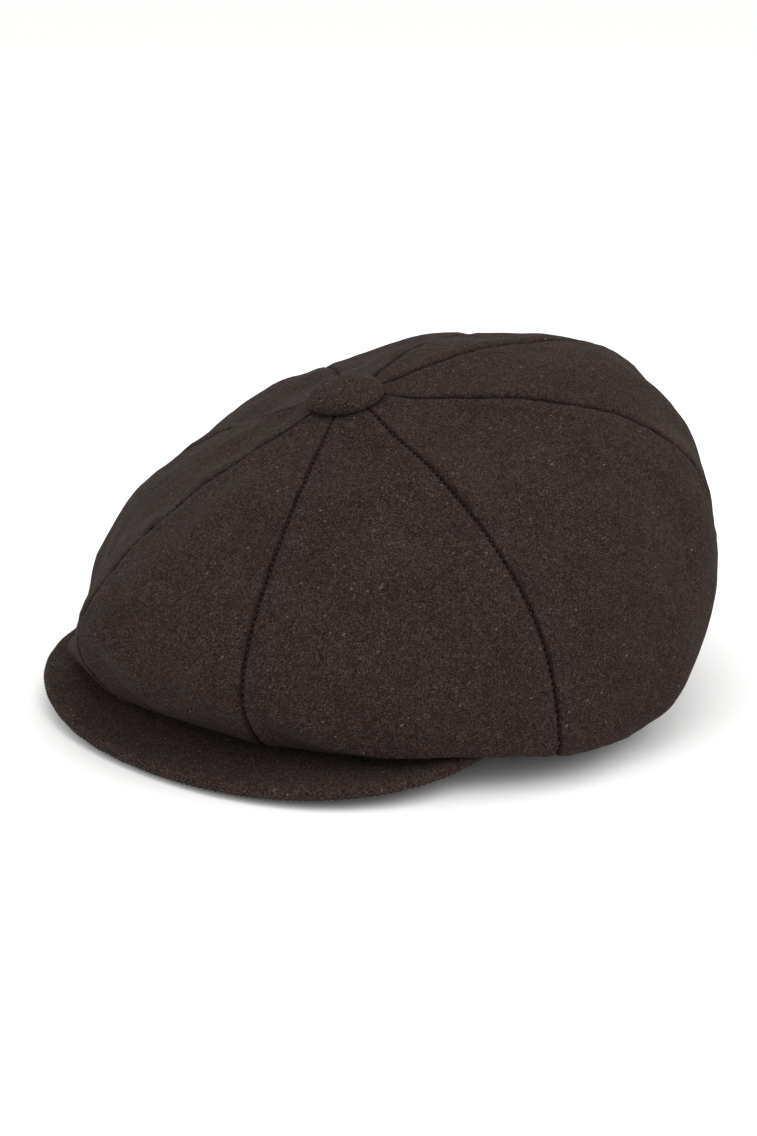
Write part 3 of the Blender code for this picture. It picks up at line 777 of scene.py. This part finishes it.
def seam_relief(points, phi, t, start, end, index):
    """How far the cloth stands off its smooth shape, and how strongly painted shade darkens it along
    a seam.

    It rolls into each seam, puckers beside it and dips into the seam with the band.
    """
    reach = from_apex(points)
    down = lengths_down(points)
    relief = np.zeros_like(reach)
    painted_seam_shade = np.zeros_like(reach)
    beyond, softness = ALLOWANCE_EDGE
    for seam, side in ((start, 0), (end, 1)):
        name = (index - 1 + side) % 8
        near = reach * np.abs(phi - seam)[None, :]
        room = np.clip(reach / SEAM_FULL_REACH, 0.25, 1.0)
        roll = bell(near / (SEAM_ROLL * np.sqrt(room)))
        ridge = bell((near - SEAM_ALLOWANCE * room) / (SEAM_RIDGE_WIDTH * room))
        pressed = 1.0 / (1.0 + np.exp((near / room - SEAM_ALLOWANCE - beyond) / softness))
        line = np.stack([down[:, 0] * 150.0, 0 * down[:, 0] + name * 7.7, 0 * down[:, 0]], axis=-1)
        wave = wander(line, 1.0, 11 + name, 2)[:, None]
        slow = wander(line * 0.22, 1.0, 31 + name, 2)[:, None]
        relief -= SEAM_DEPTH * np.sqrt(room) * roll
        # The weight of the painted seam shade: 1 on the seam line, fading over SEAM_SHADE.
        painted_seam_shade = np.maximum(painted_seam_shade, bell(near / SEAM_SHADE))
        relief += SEAM_RIDGE * room * (0.7 * ridge + 0.6 * pressed) * (1.0 + 0.45 * slow)
        relief += PUCKER * room * wave * bell(near / PUCKER_WIDTH) * (1.0 - roll)
    from_band = np.abs(down[-1:] - down)
    relief -= HEM_ROLL * bell(from_band / HEM_ROLL_WIDTH) * (t > 2.0)[:, None]
    return relief, painted_seam_shade


def peak_middle_z(x, y):
    """Height of the peak's middle surface: it drops forwards and leans up at one side."""
    forward = np.clip((PEAK_CENTRE_Y - y) / PEAK_DEPTH, 0.0, 1.1)
    sideways = np.minimum(np.abs(x) / HEAD_HALF_WIDTH, 1.0)
    from_band = np.hypot(x / HEAD_HALF_WIDTH, y / HEAD_HALF_LENGTH) - 1.0
    outward = limited(from_band / PEAK_FLARE_REACH)
    lift = PEAK_LEAN * bell((x + PEAK_HALF_WIDTH) / PEAK_LEAN_WIDTH) * outward
    return PEAK_SIDE_Z - PEAK_DROP * forward - PEAK_FLARE * sideways ** 2 * (1.0 - outward) + lift


def kept_off_peak(points):
    """Crown points that would lie inside the peak, lifted on to its upper face."""
    x, y, z = points[..., 0], points[..., 1], points[..., 2]
    ahead = np.maximum(PEAK_CENTRE_Y - y, 0.0) / PEAK_DEPTH
    aside = np.abs(x) / (PEAK_HALF_WIDTH * PEAK_WIDER)
    out = (ahead ** PEAK_ROUNDNESS + aside ** PEAK_ROUNDNESS) ** (1.0 / PEAK_ROUNDNESS)
    (out_end, out_fade), (back_y, back_fade) = REST_REACH, REST_BACK
    over = smooth_step((out_end - out) / out_fade) * smooth_step((back_y - y) / back_fade)
    top = peak_middle_z(x, y) + PEAK_BOARD / 2 + GAP + PEAK_WOOL + GAP
    short = top - z + REST_SOFTNESS
    lift = (short + np.hypot(short, REST_SOFTNESS)) / 2
    return points + UP * (lift * over)[..., None]


def drawn_in(points, phi):
    """Moves the side edges of a panel in a little, so that neighbours don't touch."""
    for side, sign in ((0, 1.0), (-1, -1.0)):
        sideways = np.array([math.cos(phi[side]), math.sin(phi[side]), 0.0])
        points[:, side] += sideways * sign * EDGE_GAP


def crown_panel(index):
    """One gore of melton: top, wall and turned-in hem in a single piece of cloth."""
    start, end = panel_limits(index)
    phi = panel_columns(start, end)
    t = crown_rows(ROW_STEP)
    smooth = crown_points(phi, t)
    smooth = drawn_up(smooth + grid_normals(smooth) * lean_of(phi, t)[..., None])
    normals = grid_normals(smooth)
    relief, painted_seam_shade = seam_relief(smooth, phi, t, start, end, index)
    relief += CROWN_WAVES * wander(smooth, 45.0, 5, 3) + CROWN_RIPPLES * wander(smooth, 210.0, 8, 2)
    outer = smooth + normals * relief[..., None] + settled_at(phi, t)
    drawn_in(outer, phi)
    outer = kept_off_peak(outer)
    upright = limited((t - 2.0) * 1.4)[:, None, None]
    inner = outer + unit(-normals * (1 - upright) + UP * upright) * WOOL
    panel = PANEL_NAMES[index]
    made = add_cloth("crown_cloth_" + panel, outer, inner, "crown",
                     "crown_panel_" + panel, painted_seam_shade=painted_seam_shade)
    return outer


# ---- Stitches ---------------------------------------------------------------------------
def add_stitches(name, paths, body, length=0.0015, radius=THREAD, spacing=STITCH_PITCH):
    """A row of short threads along each path of (points, outward)."""
    points, faces = [], []
    sides = 6
    along = np.array([-0.5, -0.36, 0.0, 0.36, 0.5])
    widths = (0.25, 0.85, 1.0, 0.85, 0.25)
    for path, outward in paths:
        walked = lengths_down(path)
        for place in np.arange(spacing / 2, walked[-1] - spacing / 4, spacing):
            centres = points_on(path, walked, place + along * length)
            facing = unit(points_on(outward, walked, place))
            side = unit(np.cross(unit(centres[-1] - centres[0]), facing))
            facing = np.cross(side, unit(centres[-1] - centres[0]))
            first = len(points)
            for centre, share, wide in zip(centres, along, widths):
                dip = facing * radius * 0.9 * (1.0 - 4 * share * share - 0.5)
                for corner in range(sides):
                    angle = 2 * math.pi * corner / sides
                    ring = side * math.cos(angle) + facing * math.sin(angle)
                    points.append(centre + dip + ring * radius * wide)
            last = len(points) - sides
            faces += grid_faces(len(along), sides, True, first)
            faces.append(tuple(first + corner for corner in reversed(range(sides))))
            faces.append(tuple(last + corner for corner in range(sides)))
    add_piece(name, np.array(points), faces, "thread", body)


def crown():
    """Eight panels and the thread that shows between them."""
    panels = [crown_panel(index) for index in range(len(PANEL_NAMES))]
    paths = []
    for panel, following in zip(panels, panels[1:] + panels[:1]):
        left, right = panel[:, -1], following[:, 0]
        middle = (left + right) / 2
        beside = (panel[:, -2] + following[:, 1]) / 2
        outward = np.cross(np.gradient(middle, axis=0), right - left)
        guess = unit(beside - middle)
        outward = np.where((np.abs(outward).sum(axis=1) > 0)[:, None], unit(outward), guess)
        outward *= np.sign((outward * guess).sum(axis=1))[:, None]
        shown = from_apex(middle) > BUTTON_COVERS
        paths.append((middle[shown] + outward[shown] * 0.00012, outward[shown]))
    add_stitches("crown_seam_thread", paths, "crown")


# ---- Head band, sweatband and size tab --------------------------------------------------
def head_oval(grow, segments):
    """Points, outward directions and distance round an oval that starts at the back."""
    angle = math.pi + 2 * math.pi * np.arange(segments) / segments
    width, length = HEAD_HALF_WIDTH + grow, HEAD_HALF_LENGTH + grow
    points = np.stack([width * np.sin(angle), -length * np.cos(angle), 0 * angle], axis=-1)
    outward = unit(np.stack([np.sin(angle) / width, -np.cos(angle) / length, 0 * angle], axis=-1))
    steps = np.linalg.norm(np.roll(points, -1, axis=0) - points, axis=1)
    return points, outward, np.concatenate([[0.0], np.cumsum(steps)[:-1]]), steps.sum()


def band_sheet(name, grow, cloth, bottom, top, look, node, lips, seed):
    """A closed band of cloth with soft edges, faint waves and its closing seam at the back."""
    rows = 18
    points, outward, walked, girth = head_oval(grow, BAND_SEGMENTS)
    heights = bottom + (top - bottom) * (0.5 - 0.5 * np.cos(np.pi * np.linspace(0, 1, rows + 1)))
    edge = np.minimum(heights - bottom, top - heights)
    soften = lips * (1.0 - np.sqrt(limited(1 - (1 - limited(edge / BAND_LIP)) ** 2)))
    grid = points[None] + UP * heights[:, None, None]
    wave = 0.00022 * wander(grid, 60.0, seed, 2) * limited(edge / 0.004)[:, None]
    groove = 0.0006 * bell(np.minimum(walked, girth - walked)[None, :] / BAND_SEAM_WIDTH)
    out = cloth - soften[:, None] + np.minimum(wave - groove, 0.0)
    outer = grid + outward[None] * out[..., None]
    inner = grid + outward[None] * (soften[:, None] + np.maximum(0.3 * wave, 0.0))[..., None]
    uv = np.stack([np.tile(walked, rows + 1), np.repeat(heights, BAND_SEGMENTS)], axis=-1)
    made = add_cloth(name, outer, inner, look, node, closed=True, uv=uv)


def bands():
    """The head band, the sweatband inside it and the two rows of stitches that hold that."""
    band_sheet("head_cloth", BAND_OUTSIDE - WOOL, WOOL, 0.0, BAND_HEIGHT, "crown",
               "head_band", 0.00045, 4)
    low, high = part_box("sweatband")
    band_sheet("sweatband_cloth", 0.0, SWEATBAND_CLOTH, low.z, high.z, "twill",
               "sweatband", 0.0003, 6)
    points, outward, _, _ = head_oval(0.0, BAND_SEGMENTS)
    closing = np.append(np.arange(BAND_SEGMENTS), 0)
    rows = [(points[closing] + UP * height, -outward[closing])
            for height in (low.z + SWEATBAND_STITCH_IN, high.z - SWEATBAND_STITCH_IN)]
    add_stitches("sweatband_thread", rows, "crown", 0.0020, 0.00024, 0.0031)


def size_tab():
    """A blank folded tab, sewn to the sweatband by its two ends."""
    low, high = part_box("size_tab")
    columns, rows = 36, 20
    x = np.linspace(low.x, high.x, columns + 1)[None, :]
    z = np.linspace(low.z, high.z, rows + 1)[:, None]
    bow = np.sqrt(1.0 - (x / HEAD_HALF_WIDTH) ** 2)
    middle_lift = 0.0005 * np.cos(np.pi * (x / (high.x - low.x))) + 0.0 * z
    y = HEAD_HALF_LENGTH * bow - GAP - 0.0004 - middle_lift
    outer = np.stack([x + 0 * z, y, z + 0 * x], axis=-1)
    inner = outer - np.array([0.0, TAB_CLOTH, 0.0])
    made = add_cloth("size_tab_cloth", outer, inner, "label", "size_tab",
                     flip=True, uv=outer.reshape(-1, 3)[:, [0, 2]])
    paths = []
    for column in (2, columns - 2):
        line = inner[1:-1, column] - np.array([0.0, 0.00005, 0.0])
        paths.append((line, np.tile([0.0, -1.0, 0.0], (len(line), 1))))
    add_stitches("size_tab_thread", paths, "crown", 0.0013, 0.00016, 0.0021)


# ---- Lining -----------------------------------------------------------------------------
def lining_points(phi, height, drop):
    """The lining's dome from its foot, at height 0, towards the apex, at height 1."""
    foot = band_point(phi, SWEATBAND_CLOTH + GAP - drop, LINING_FOOT_Z)[None, :]
    top = np.array([APEX[0], APEX[1], APEX[2] - LINING_TOP - drop])
    angle = height[..., None] * math.pi / 2
    points = top + (foot - top) * np.cos(angle)
    points[..., 2] = foot[..., 2] + (top[2] - foot[..., 2]) * np.sin(angle[..., 0])
    return points


def lining():
    """Eight satin gores that hang a little slack between their seams, gathered at the foot."""
    rows = 46
    up = np.linspace(0.0, 1.0, rows + 1)[:, None]
    paths = []
    for index, panel in enumerate(PANEL_NAMES):
        start, end = panel_limits(index)
        columns = max(16, round((end - start) * 0.09 / LINING_COLUMN_STEP))
        phi = np.linspace(start, end, columns + 1)
        reach = np.linalg.norm(band_point(phi, 0.0, 0.0)[:, :2] - APEX[:2], axis=1)
        share = np.arccos(LINING_HOLE / reach) / (math.pi / 2)
        smooth = lining_points(phi, up * share[None, :], LINING_CLOTH / 2)
        normals = unit(np.cross(np.gradient(smooth, axis=1), np.gradient(smooth, axis=0)))
        beside = from_apex(smooth) * np.minimum(phi - start, end - phi)[None, :]
        hang = LINING_SLACK * wander(smooth, 30.0, 21, 3) * limited(beside / 0.012)
        hang -= LINING_SLACK + 0.0008 * bell(beside / LINING_SEAM_WIDTH)
        folds = 0.0007 * wander(smooth * np.array([1.0, 1.0, 0.25]), 110.0, 23, 2)
        hang = (hang + folds * bell(up / 0.16)) * limited(up / 0.03)
        middle = smooth + normals * hang[..., None]
        drawn_in(middle, phi)
        outer = middle + normals * SATIN_HALF
        inner = middle - normals * SATIN_HALF
        made = add_cloth("lining_cloth_" + panel, outer, inner, "satin",
                         "lining_gore_" + panel, flip=True)
        paths.append((inner[1:, 0] - normals[1:, 0] * 0.0001, -normals[1:, 0]))
    add_stitches("lining_seam_thread", paths, "crown", 0.0013, 0.00014, 0.0023)


def revolve(profile, place, segments, relief):
    """A closed turned body from (radius, height) corners; relief scales each point outward."""
    points, rings, faces = [], [], []
    for radius, height in profile:
        if radius < 1e-6:
            rings.append([len(points)])
            points.append((0.0, 0.0, height))
            continue
        rings.append(list(range(len(points), len(points) + segments)))
        for i in range(segments):
            angle = 2 * math.pi * i / segments
            grown = radius * relief(angle, radius, height)
            points.append((grown * math.cos(angle), grown * math.sin(angle), height))
    for first, second in zip(rings, rings[1:] + rings[:1]):
        for i in range(segments):
            j = (i + 1) % segments
            if len(first) > 1 and len(second) > 1:
                faces.append((first[i], first[j], second[j], second[i]))
            elif len(first) > 1:
                faces.append((first[i], first[j], second[0]))
            elif len(second) > 1:
                faces.append((first[0], second[j], second[i]))
    return np.array([tuple(place @ Vector(point)) for point in points]), faces


def lining_disc():
    """The small round cap that closes the lining where its gores meet."""
    low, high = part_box("lining_disc")
    radius = (high.x - low.x) / 2
    steps = 14
    over = [(radius * i / steps, -DISC_DROOP * (i / steps) ** 2) for i in range(steps + 1)]
    under = [(reach, droop - DISC_CLOTH) for reach, droop in over]

    def ruffle(angle, reach, _height):
        return 1.0 + 0.012 * math.sin(18 * angle) * (reach / radius) ** 4

    place = Matrix.Translation((APEX[0], APEX[1], high.z))
    points, faces = revolve(over + under[::-1], place, 90, ruffle)
    made = add_piece("lining_disc_cloth", points, faces, "satin", "crown")
    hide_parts("lining_disc")


# ---- Peak -------------------------------------------------------------------------------
def peak_roots(count):
    """Points of the peak's inner edge, along the outside of the head band."""
    grow = BAND_OUTSIDE + PEAK_CLEARANCE
    angle = PEAK_ROOT_ANGLE * np.linspace(-1.0, 1.0, count)
    return np.stack([(HEAD_HALF_WIDTH + grow) * np.sin(angle),
                     -(HEAD_HALF_LENGTH + grow) * np.cos(angle)], axis=-1)


def peak_outline(count):
    """Points of the peak's outer edge, evenly spaced from side to side."""
    corner = peak_roots(3)[-1] + np.array(PEAK_CORNER)
    turn = np.linspace(0.0, math.pi / 2, 60)[:-1]
    back = np.stack([corner[0] + (PEAK_HALF_WIDTH - corner[0]) * np.sin(turn),
                     PEAK_CENTRE_Y + (corner[1] - PEAK_CENTRE_Y) * np.cos(turn)], axis=-1)
    power = 2.0 / PEAK_ROUNDNESS
    turn = np.linspace(0.0, math.pi / 2, 300)
    tip = np.stack([PEAK_HALF_WIDTH * limited(np.cos(turn)) ** power,
                    PEAK_CENTRE_Y - PEAK_DEPTH * np.sin(turn) ** power], axis=-1)
    half = np.concatenate([back, tip])
    whole = np.concatenate([half * [-PEAK_WIDER, 1.0], half[-2::-1]])
    walked = lengths_down(whole)
    even = np.linspace(0.0, walked[-1], count)
    return points_on(whole, walked, even), even


def peak_rows(columns, inset, edge, edge_share, flat_rows, turn_rows, scallop=0.0):
    """A level grid from the peak's root to its rim, and the share of its height at each row.

    The last rows turn over the edge in a quarter circle. The third value is the wave that
    the stitches make along the rim.
    """
    outline, walked = peak_outline(columns)
    roots = peak_roots(columns)
    step = outline - roots
    length = np.linalg.norm(step, axis=1, keepdims=True)
    direction = step / length
    wave = np.cos(2 * math.pi * walked / STITCH_PITCH)
    rim = outline - direction * inset + direction * (scallop * wave[:, None])
    flat_end = rim - direction * np.minimum(edge, edge_share * (length - inset))
    turn = np.linspace(0.0, math.pi / 2, turn_rows + 1)[1:]
    rows = [roots + (flat_end - roots) * share for share in np.linspace(0.0, 1.0, flat_rows)]
    rows += [flat_end + (rim - flat_end) * math.sin(angle) for angle in turn]
    level = np.array(rows)
    height = np.concatenate([np.ones(flat_rows), np.cos(turn)])[:, None]
    return np.concatenate([level, 0 * level[..., :1]], axis=2), height, wave


def peak_cover(name, side, node):
    """One face of the peak: cloth drawn tight over the board, rolled in to the edge seam."""
    inside = PEAK_BOARD / 2 + GAP
    grids = []
    for half, inset, scallop in ((inside + PEAK_WOOL, 0.0, EDGE_SCALLOP), (inside, PEAK_WOOL, 0.0)):
        grid, height, wave = peak_rows(300, inset, half * 1.35, 0.45, 40, 10, scallop)
        rise = np.maximum(half * height, PEAK_LEAST_RISE)
        if inset == 0.0:
            away = lengths_down(grid)
            to_rim = away[-1:] - away
            ply = 0.00035 * bell((to_rim - 0.0042) / 0.0026)
            dip = 0.00030 * bell(to_rim / 0.0011)
            flow = 0.00028 * wander(grid, 55.0, 41 + side, 3) * limited(to_rim / 0.01)
            near = bell(to_rim / 0.0045) * limited(to_rim / 0.0008)
            relief = ply - dip + flow + 0.00012 * near * wave[None, :]
            rise = np.maximum(rise + relief * limited(away / 0.006), PEAK_LEAST_RISE)
        middle = peak_middle_z(grid[..., 0], grid[..., 1])
        grids.append(grid + UP * (middle + side * rise)[..., None])
    outer, inner = grids
    made = add_cloth(name, outer, inner, "peak", node, "peak", flip=side > 0)
    return outer


def peak_core():
    """The stiff board under the cloth; it leans with the cloth."""
    grid, height, _ = peak_rows(140, PEAK_WOOL + PEAK_SEAM, PEAK_BOARD * 0.6, 0.3, 24, 5)
    middle = peak_middle_z(grid[..., 0], grid[..., 1])
    rise = PEAK_BOARD / 2 * np.maximum(height, 0.02)
    upper, lower = (grid + UP * (middle + side * rise)[..., None] for side in (1, -1))
    add_cloth("peak_stiffening_board", upper, lower, "board", "peak_board", "peak",
              flip=True)


def peak():
    peak_core()
    upper = peak_cover("peak_cloth_upper", 1, "peak_upper_cover")
    lower = peak_cover("peak_cloth_lower", -1, "peak_lower_cover")
    rim = (upper[-1] + lower[-1]) / 2
    outward = unit(upper[-1] - upper[-6])
    outward[:, 2] = 0.0
    outward = unit(outward)
    add_stitches("peak_edge_thread", [(rim + outward * 0.00005, outward)], "peak",
                 radius=0.00020)


# ---- Button -----------------------------------------------------------------------------
def button():
    """A cloth-covered dome whose cloth gathers under its rim."""
    lean = Matrix.Translation(APEX.tolist()) @ Matrix.Rotation(BUTTON_LEAN, 4, "X")
    place = lean @ Matrix.Translation((0.0, 0.0, BUTTON_LIFT))
    steps = 26
    quarter = [math.pi / 2 * i / steps for i in range(steps)]
    outer = [(BUTTON_RADIUS * share, height)
             for share, height in ((0.72, 0.0), (0.84, -0.0001), (0.94, 0.0001))]
    outer += [(BUTTON_RADIUS * math.cos(angle),
               BUTTON_RIM + (BUTTON_HEIGHT - BUTTON_RIM) * math.sin(angle) ** 0.92)
              for angle in quarter]
    within = BUTTON_RADIUS - BUTTON_WOOL
    inner = [(within * math.cos(angle),
              BUTTON_RIM + (BUTTON_HEIGHT - BUTTON_WOOL - BUTTON_RIM) * math.sin(angle))
             for angle in quarter[::-2]]
    profile = outer + [(0.0, BUTTON_HEIGHT), (0.0, BUTTON_HEIGHT - BUTTON_WOOL)] + inner
    profile += [(within * 0.77, BUTTON_WOOL)]

    def gathers(angle, reach, height):
        low = max(0.0, 1.0 - height / BUTTON_GATHER_HEIGHT)
        fold = math.sin(BUTTON_PLEATS * angle + 1.3 * math.sin(3 * angle)) * 0.012 * low ** 1.5
        drift = 0.006 * noise.noise(Vector((3 * math.cos(angle), 3 * math.sin(angle), height * 300)))
        return 1.0 + (fold + drift) * min(1.0, reach / BUTTON_RADIUS * 1.5)

    points, faces = revolve(profile, place, 120, gathers)
    made = add_piece("button_cloth", points, faces, "crown", "crown")
    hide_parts("button_cover")


# ---- Hidden CAD pieces get their own finish ---------------------------------------------
def dress(node, look):
    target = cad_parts[node]
    for slot in target.material_slots:
        slot.material = LOOKS[look]
    if not target.material_slots:
        target.data.materials.append(LOOKS[look])


# ---- Floor, light and camera ------------------------------------------------------------
CAMERA_AZIMUTH = math.radians(42.09)
CAMERA_ELEVATION = math.radians(17.85)
CAMERA_DISTANCE = 0.800
CAMERA_LENS = 63.4
AIM = (0.0125, -0.0658)           # of the picture's middle, right and up from the apex
FLOOR_GAP = 0.0012                # the floor lies this far under the lowest point of the CAD


def aim_at(thing, place, target):
    thing.location = place
    direction = Vector(target) - Vector(place)
    thing.rotation_euler = direction.to_track_quat("-Z", "Y").to_euler()


def studio():
    """A pale floor that can be seen through from underneath, soft lights and a white world."""
    reach = 30.0
    z = min(cad_low[2], 0.0) - FLOOR_GAP
    corners = [(-reach, -reach, z), (reach, -reach, z), (reach, reach, z), (-reach, reach, z)]
    floor_mesh = bpy.data.meshes.new("studio_floor")
    floor_mesh.from_pydata(corners, [], [(0, 1, 2, 3)])
    look = Nodes("studio_floor", Roughness=0.9, Specular_IOR_Level=0.1,
                 Base_Color=(0.93, 0.93, 0.93, 1.0))
    below = look.add("ShaderNodeNewGeometry").outputs["Backfacing"]
    either = look.add("ShaderNodeMixShader", Fac=below)
    look.put(look.shader.outputs[0], either.inputs[1])
    look.put(look.add("ShaderNodeBsdfTransparent").outputs[0], either.inputs[2])
    look.put(either.outputs[0], look.output.inputs["Surface"])
    floor_mesh.materials.append(look.material)
    put_in_scene("studio_floor", floor_mesh)

    world = bpy.data.worlds.new("studio")
    world.use_nodes = True
    sky = world.node_tree.nodes["Background"].inputs
    sky["Color"].default_value = (1.0, 0.995, 0.985, 1.0)
    sky["Strength"].default_value = 1.07
    bpy.context.scene.world = world
    bpy.context.scene.view_settings.view_transform = "Standard"

    middle = Vector((0.0, -0.01, 0.05))
    for name, place, size, power in (
            ("key_light", (1.50, 0.40, 1.45), 1.3, 11.0),
            ("top_light", (-0.10, 0.25, 1.9), 1.6, 9.0),
            ("side_light", (-0.40, -1.60, 1.00), 1.2, 3.0)):
        lamp = bpy.data.lights.new(name, "AREA")
        lamp.size = size
        lamp.energy = power
        aim_at(put_in_scene(name, lamp), place, middle)


def camera():
    sin_a, cos_a = math.sin(CAMERA_AZIMUTH), math.cos(CAMERA_AZIMUTH)
    sin_e, cos_e = math.sin(CAMERA_ELEVATION), math.cos(CAMERA_ELEVATION)
    back = Vector((sin_a * cos_e, -cos_a * cos_e, sin_e))
    right = Vector((cos_a, sin_a, 0.0))
    up = Vector((-sin_a * sin_e, cos_a * sin_e, cos_e))
    target = Vector(APEX.tolist()) + right * AIM[0] + up * AIM[1]
    lens = bpy.data.cameras.new("camera")
    lens.sensor_fit = "VERTICAL"
    lens.sensor_height = 36.0
    lens.lens = CAMERA_LENS
    lens.clip_start = 0.01
    made = put_in_scene("camera", lens)
    aim_at(made, target + back * CAMERA_DISTANCE, target)
    bpy.context.scene.camera = made


crown()
bands()
size_tab()
lining()
lining_disc()
peak()
button()
for hidden, finish in (("band_stiffener", "buckram"), ("button_shell", "metal"),
                       ("button_back_plate", "metal"), ("button_stay", "buckram")):
    dress(hidden, finish)
studio()
camera()
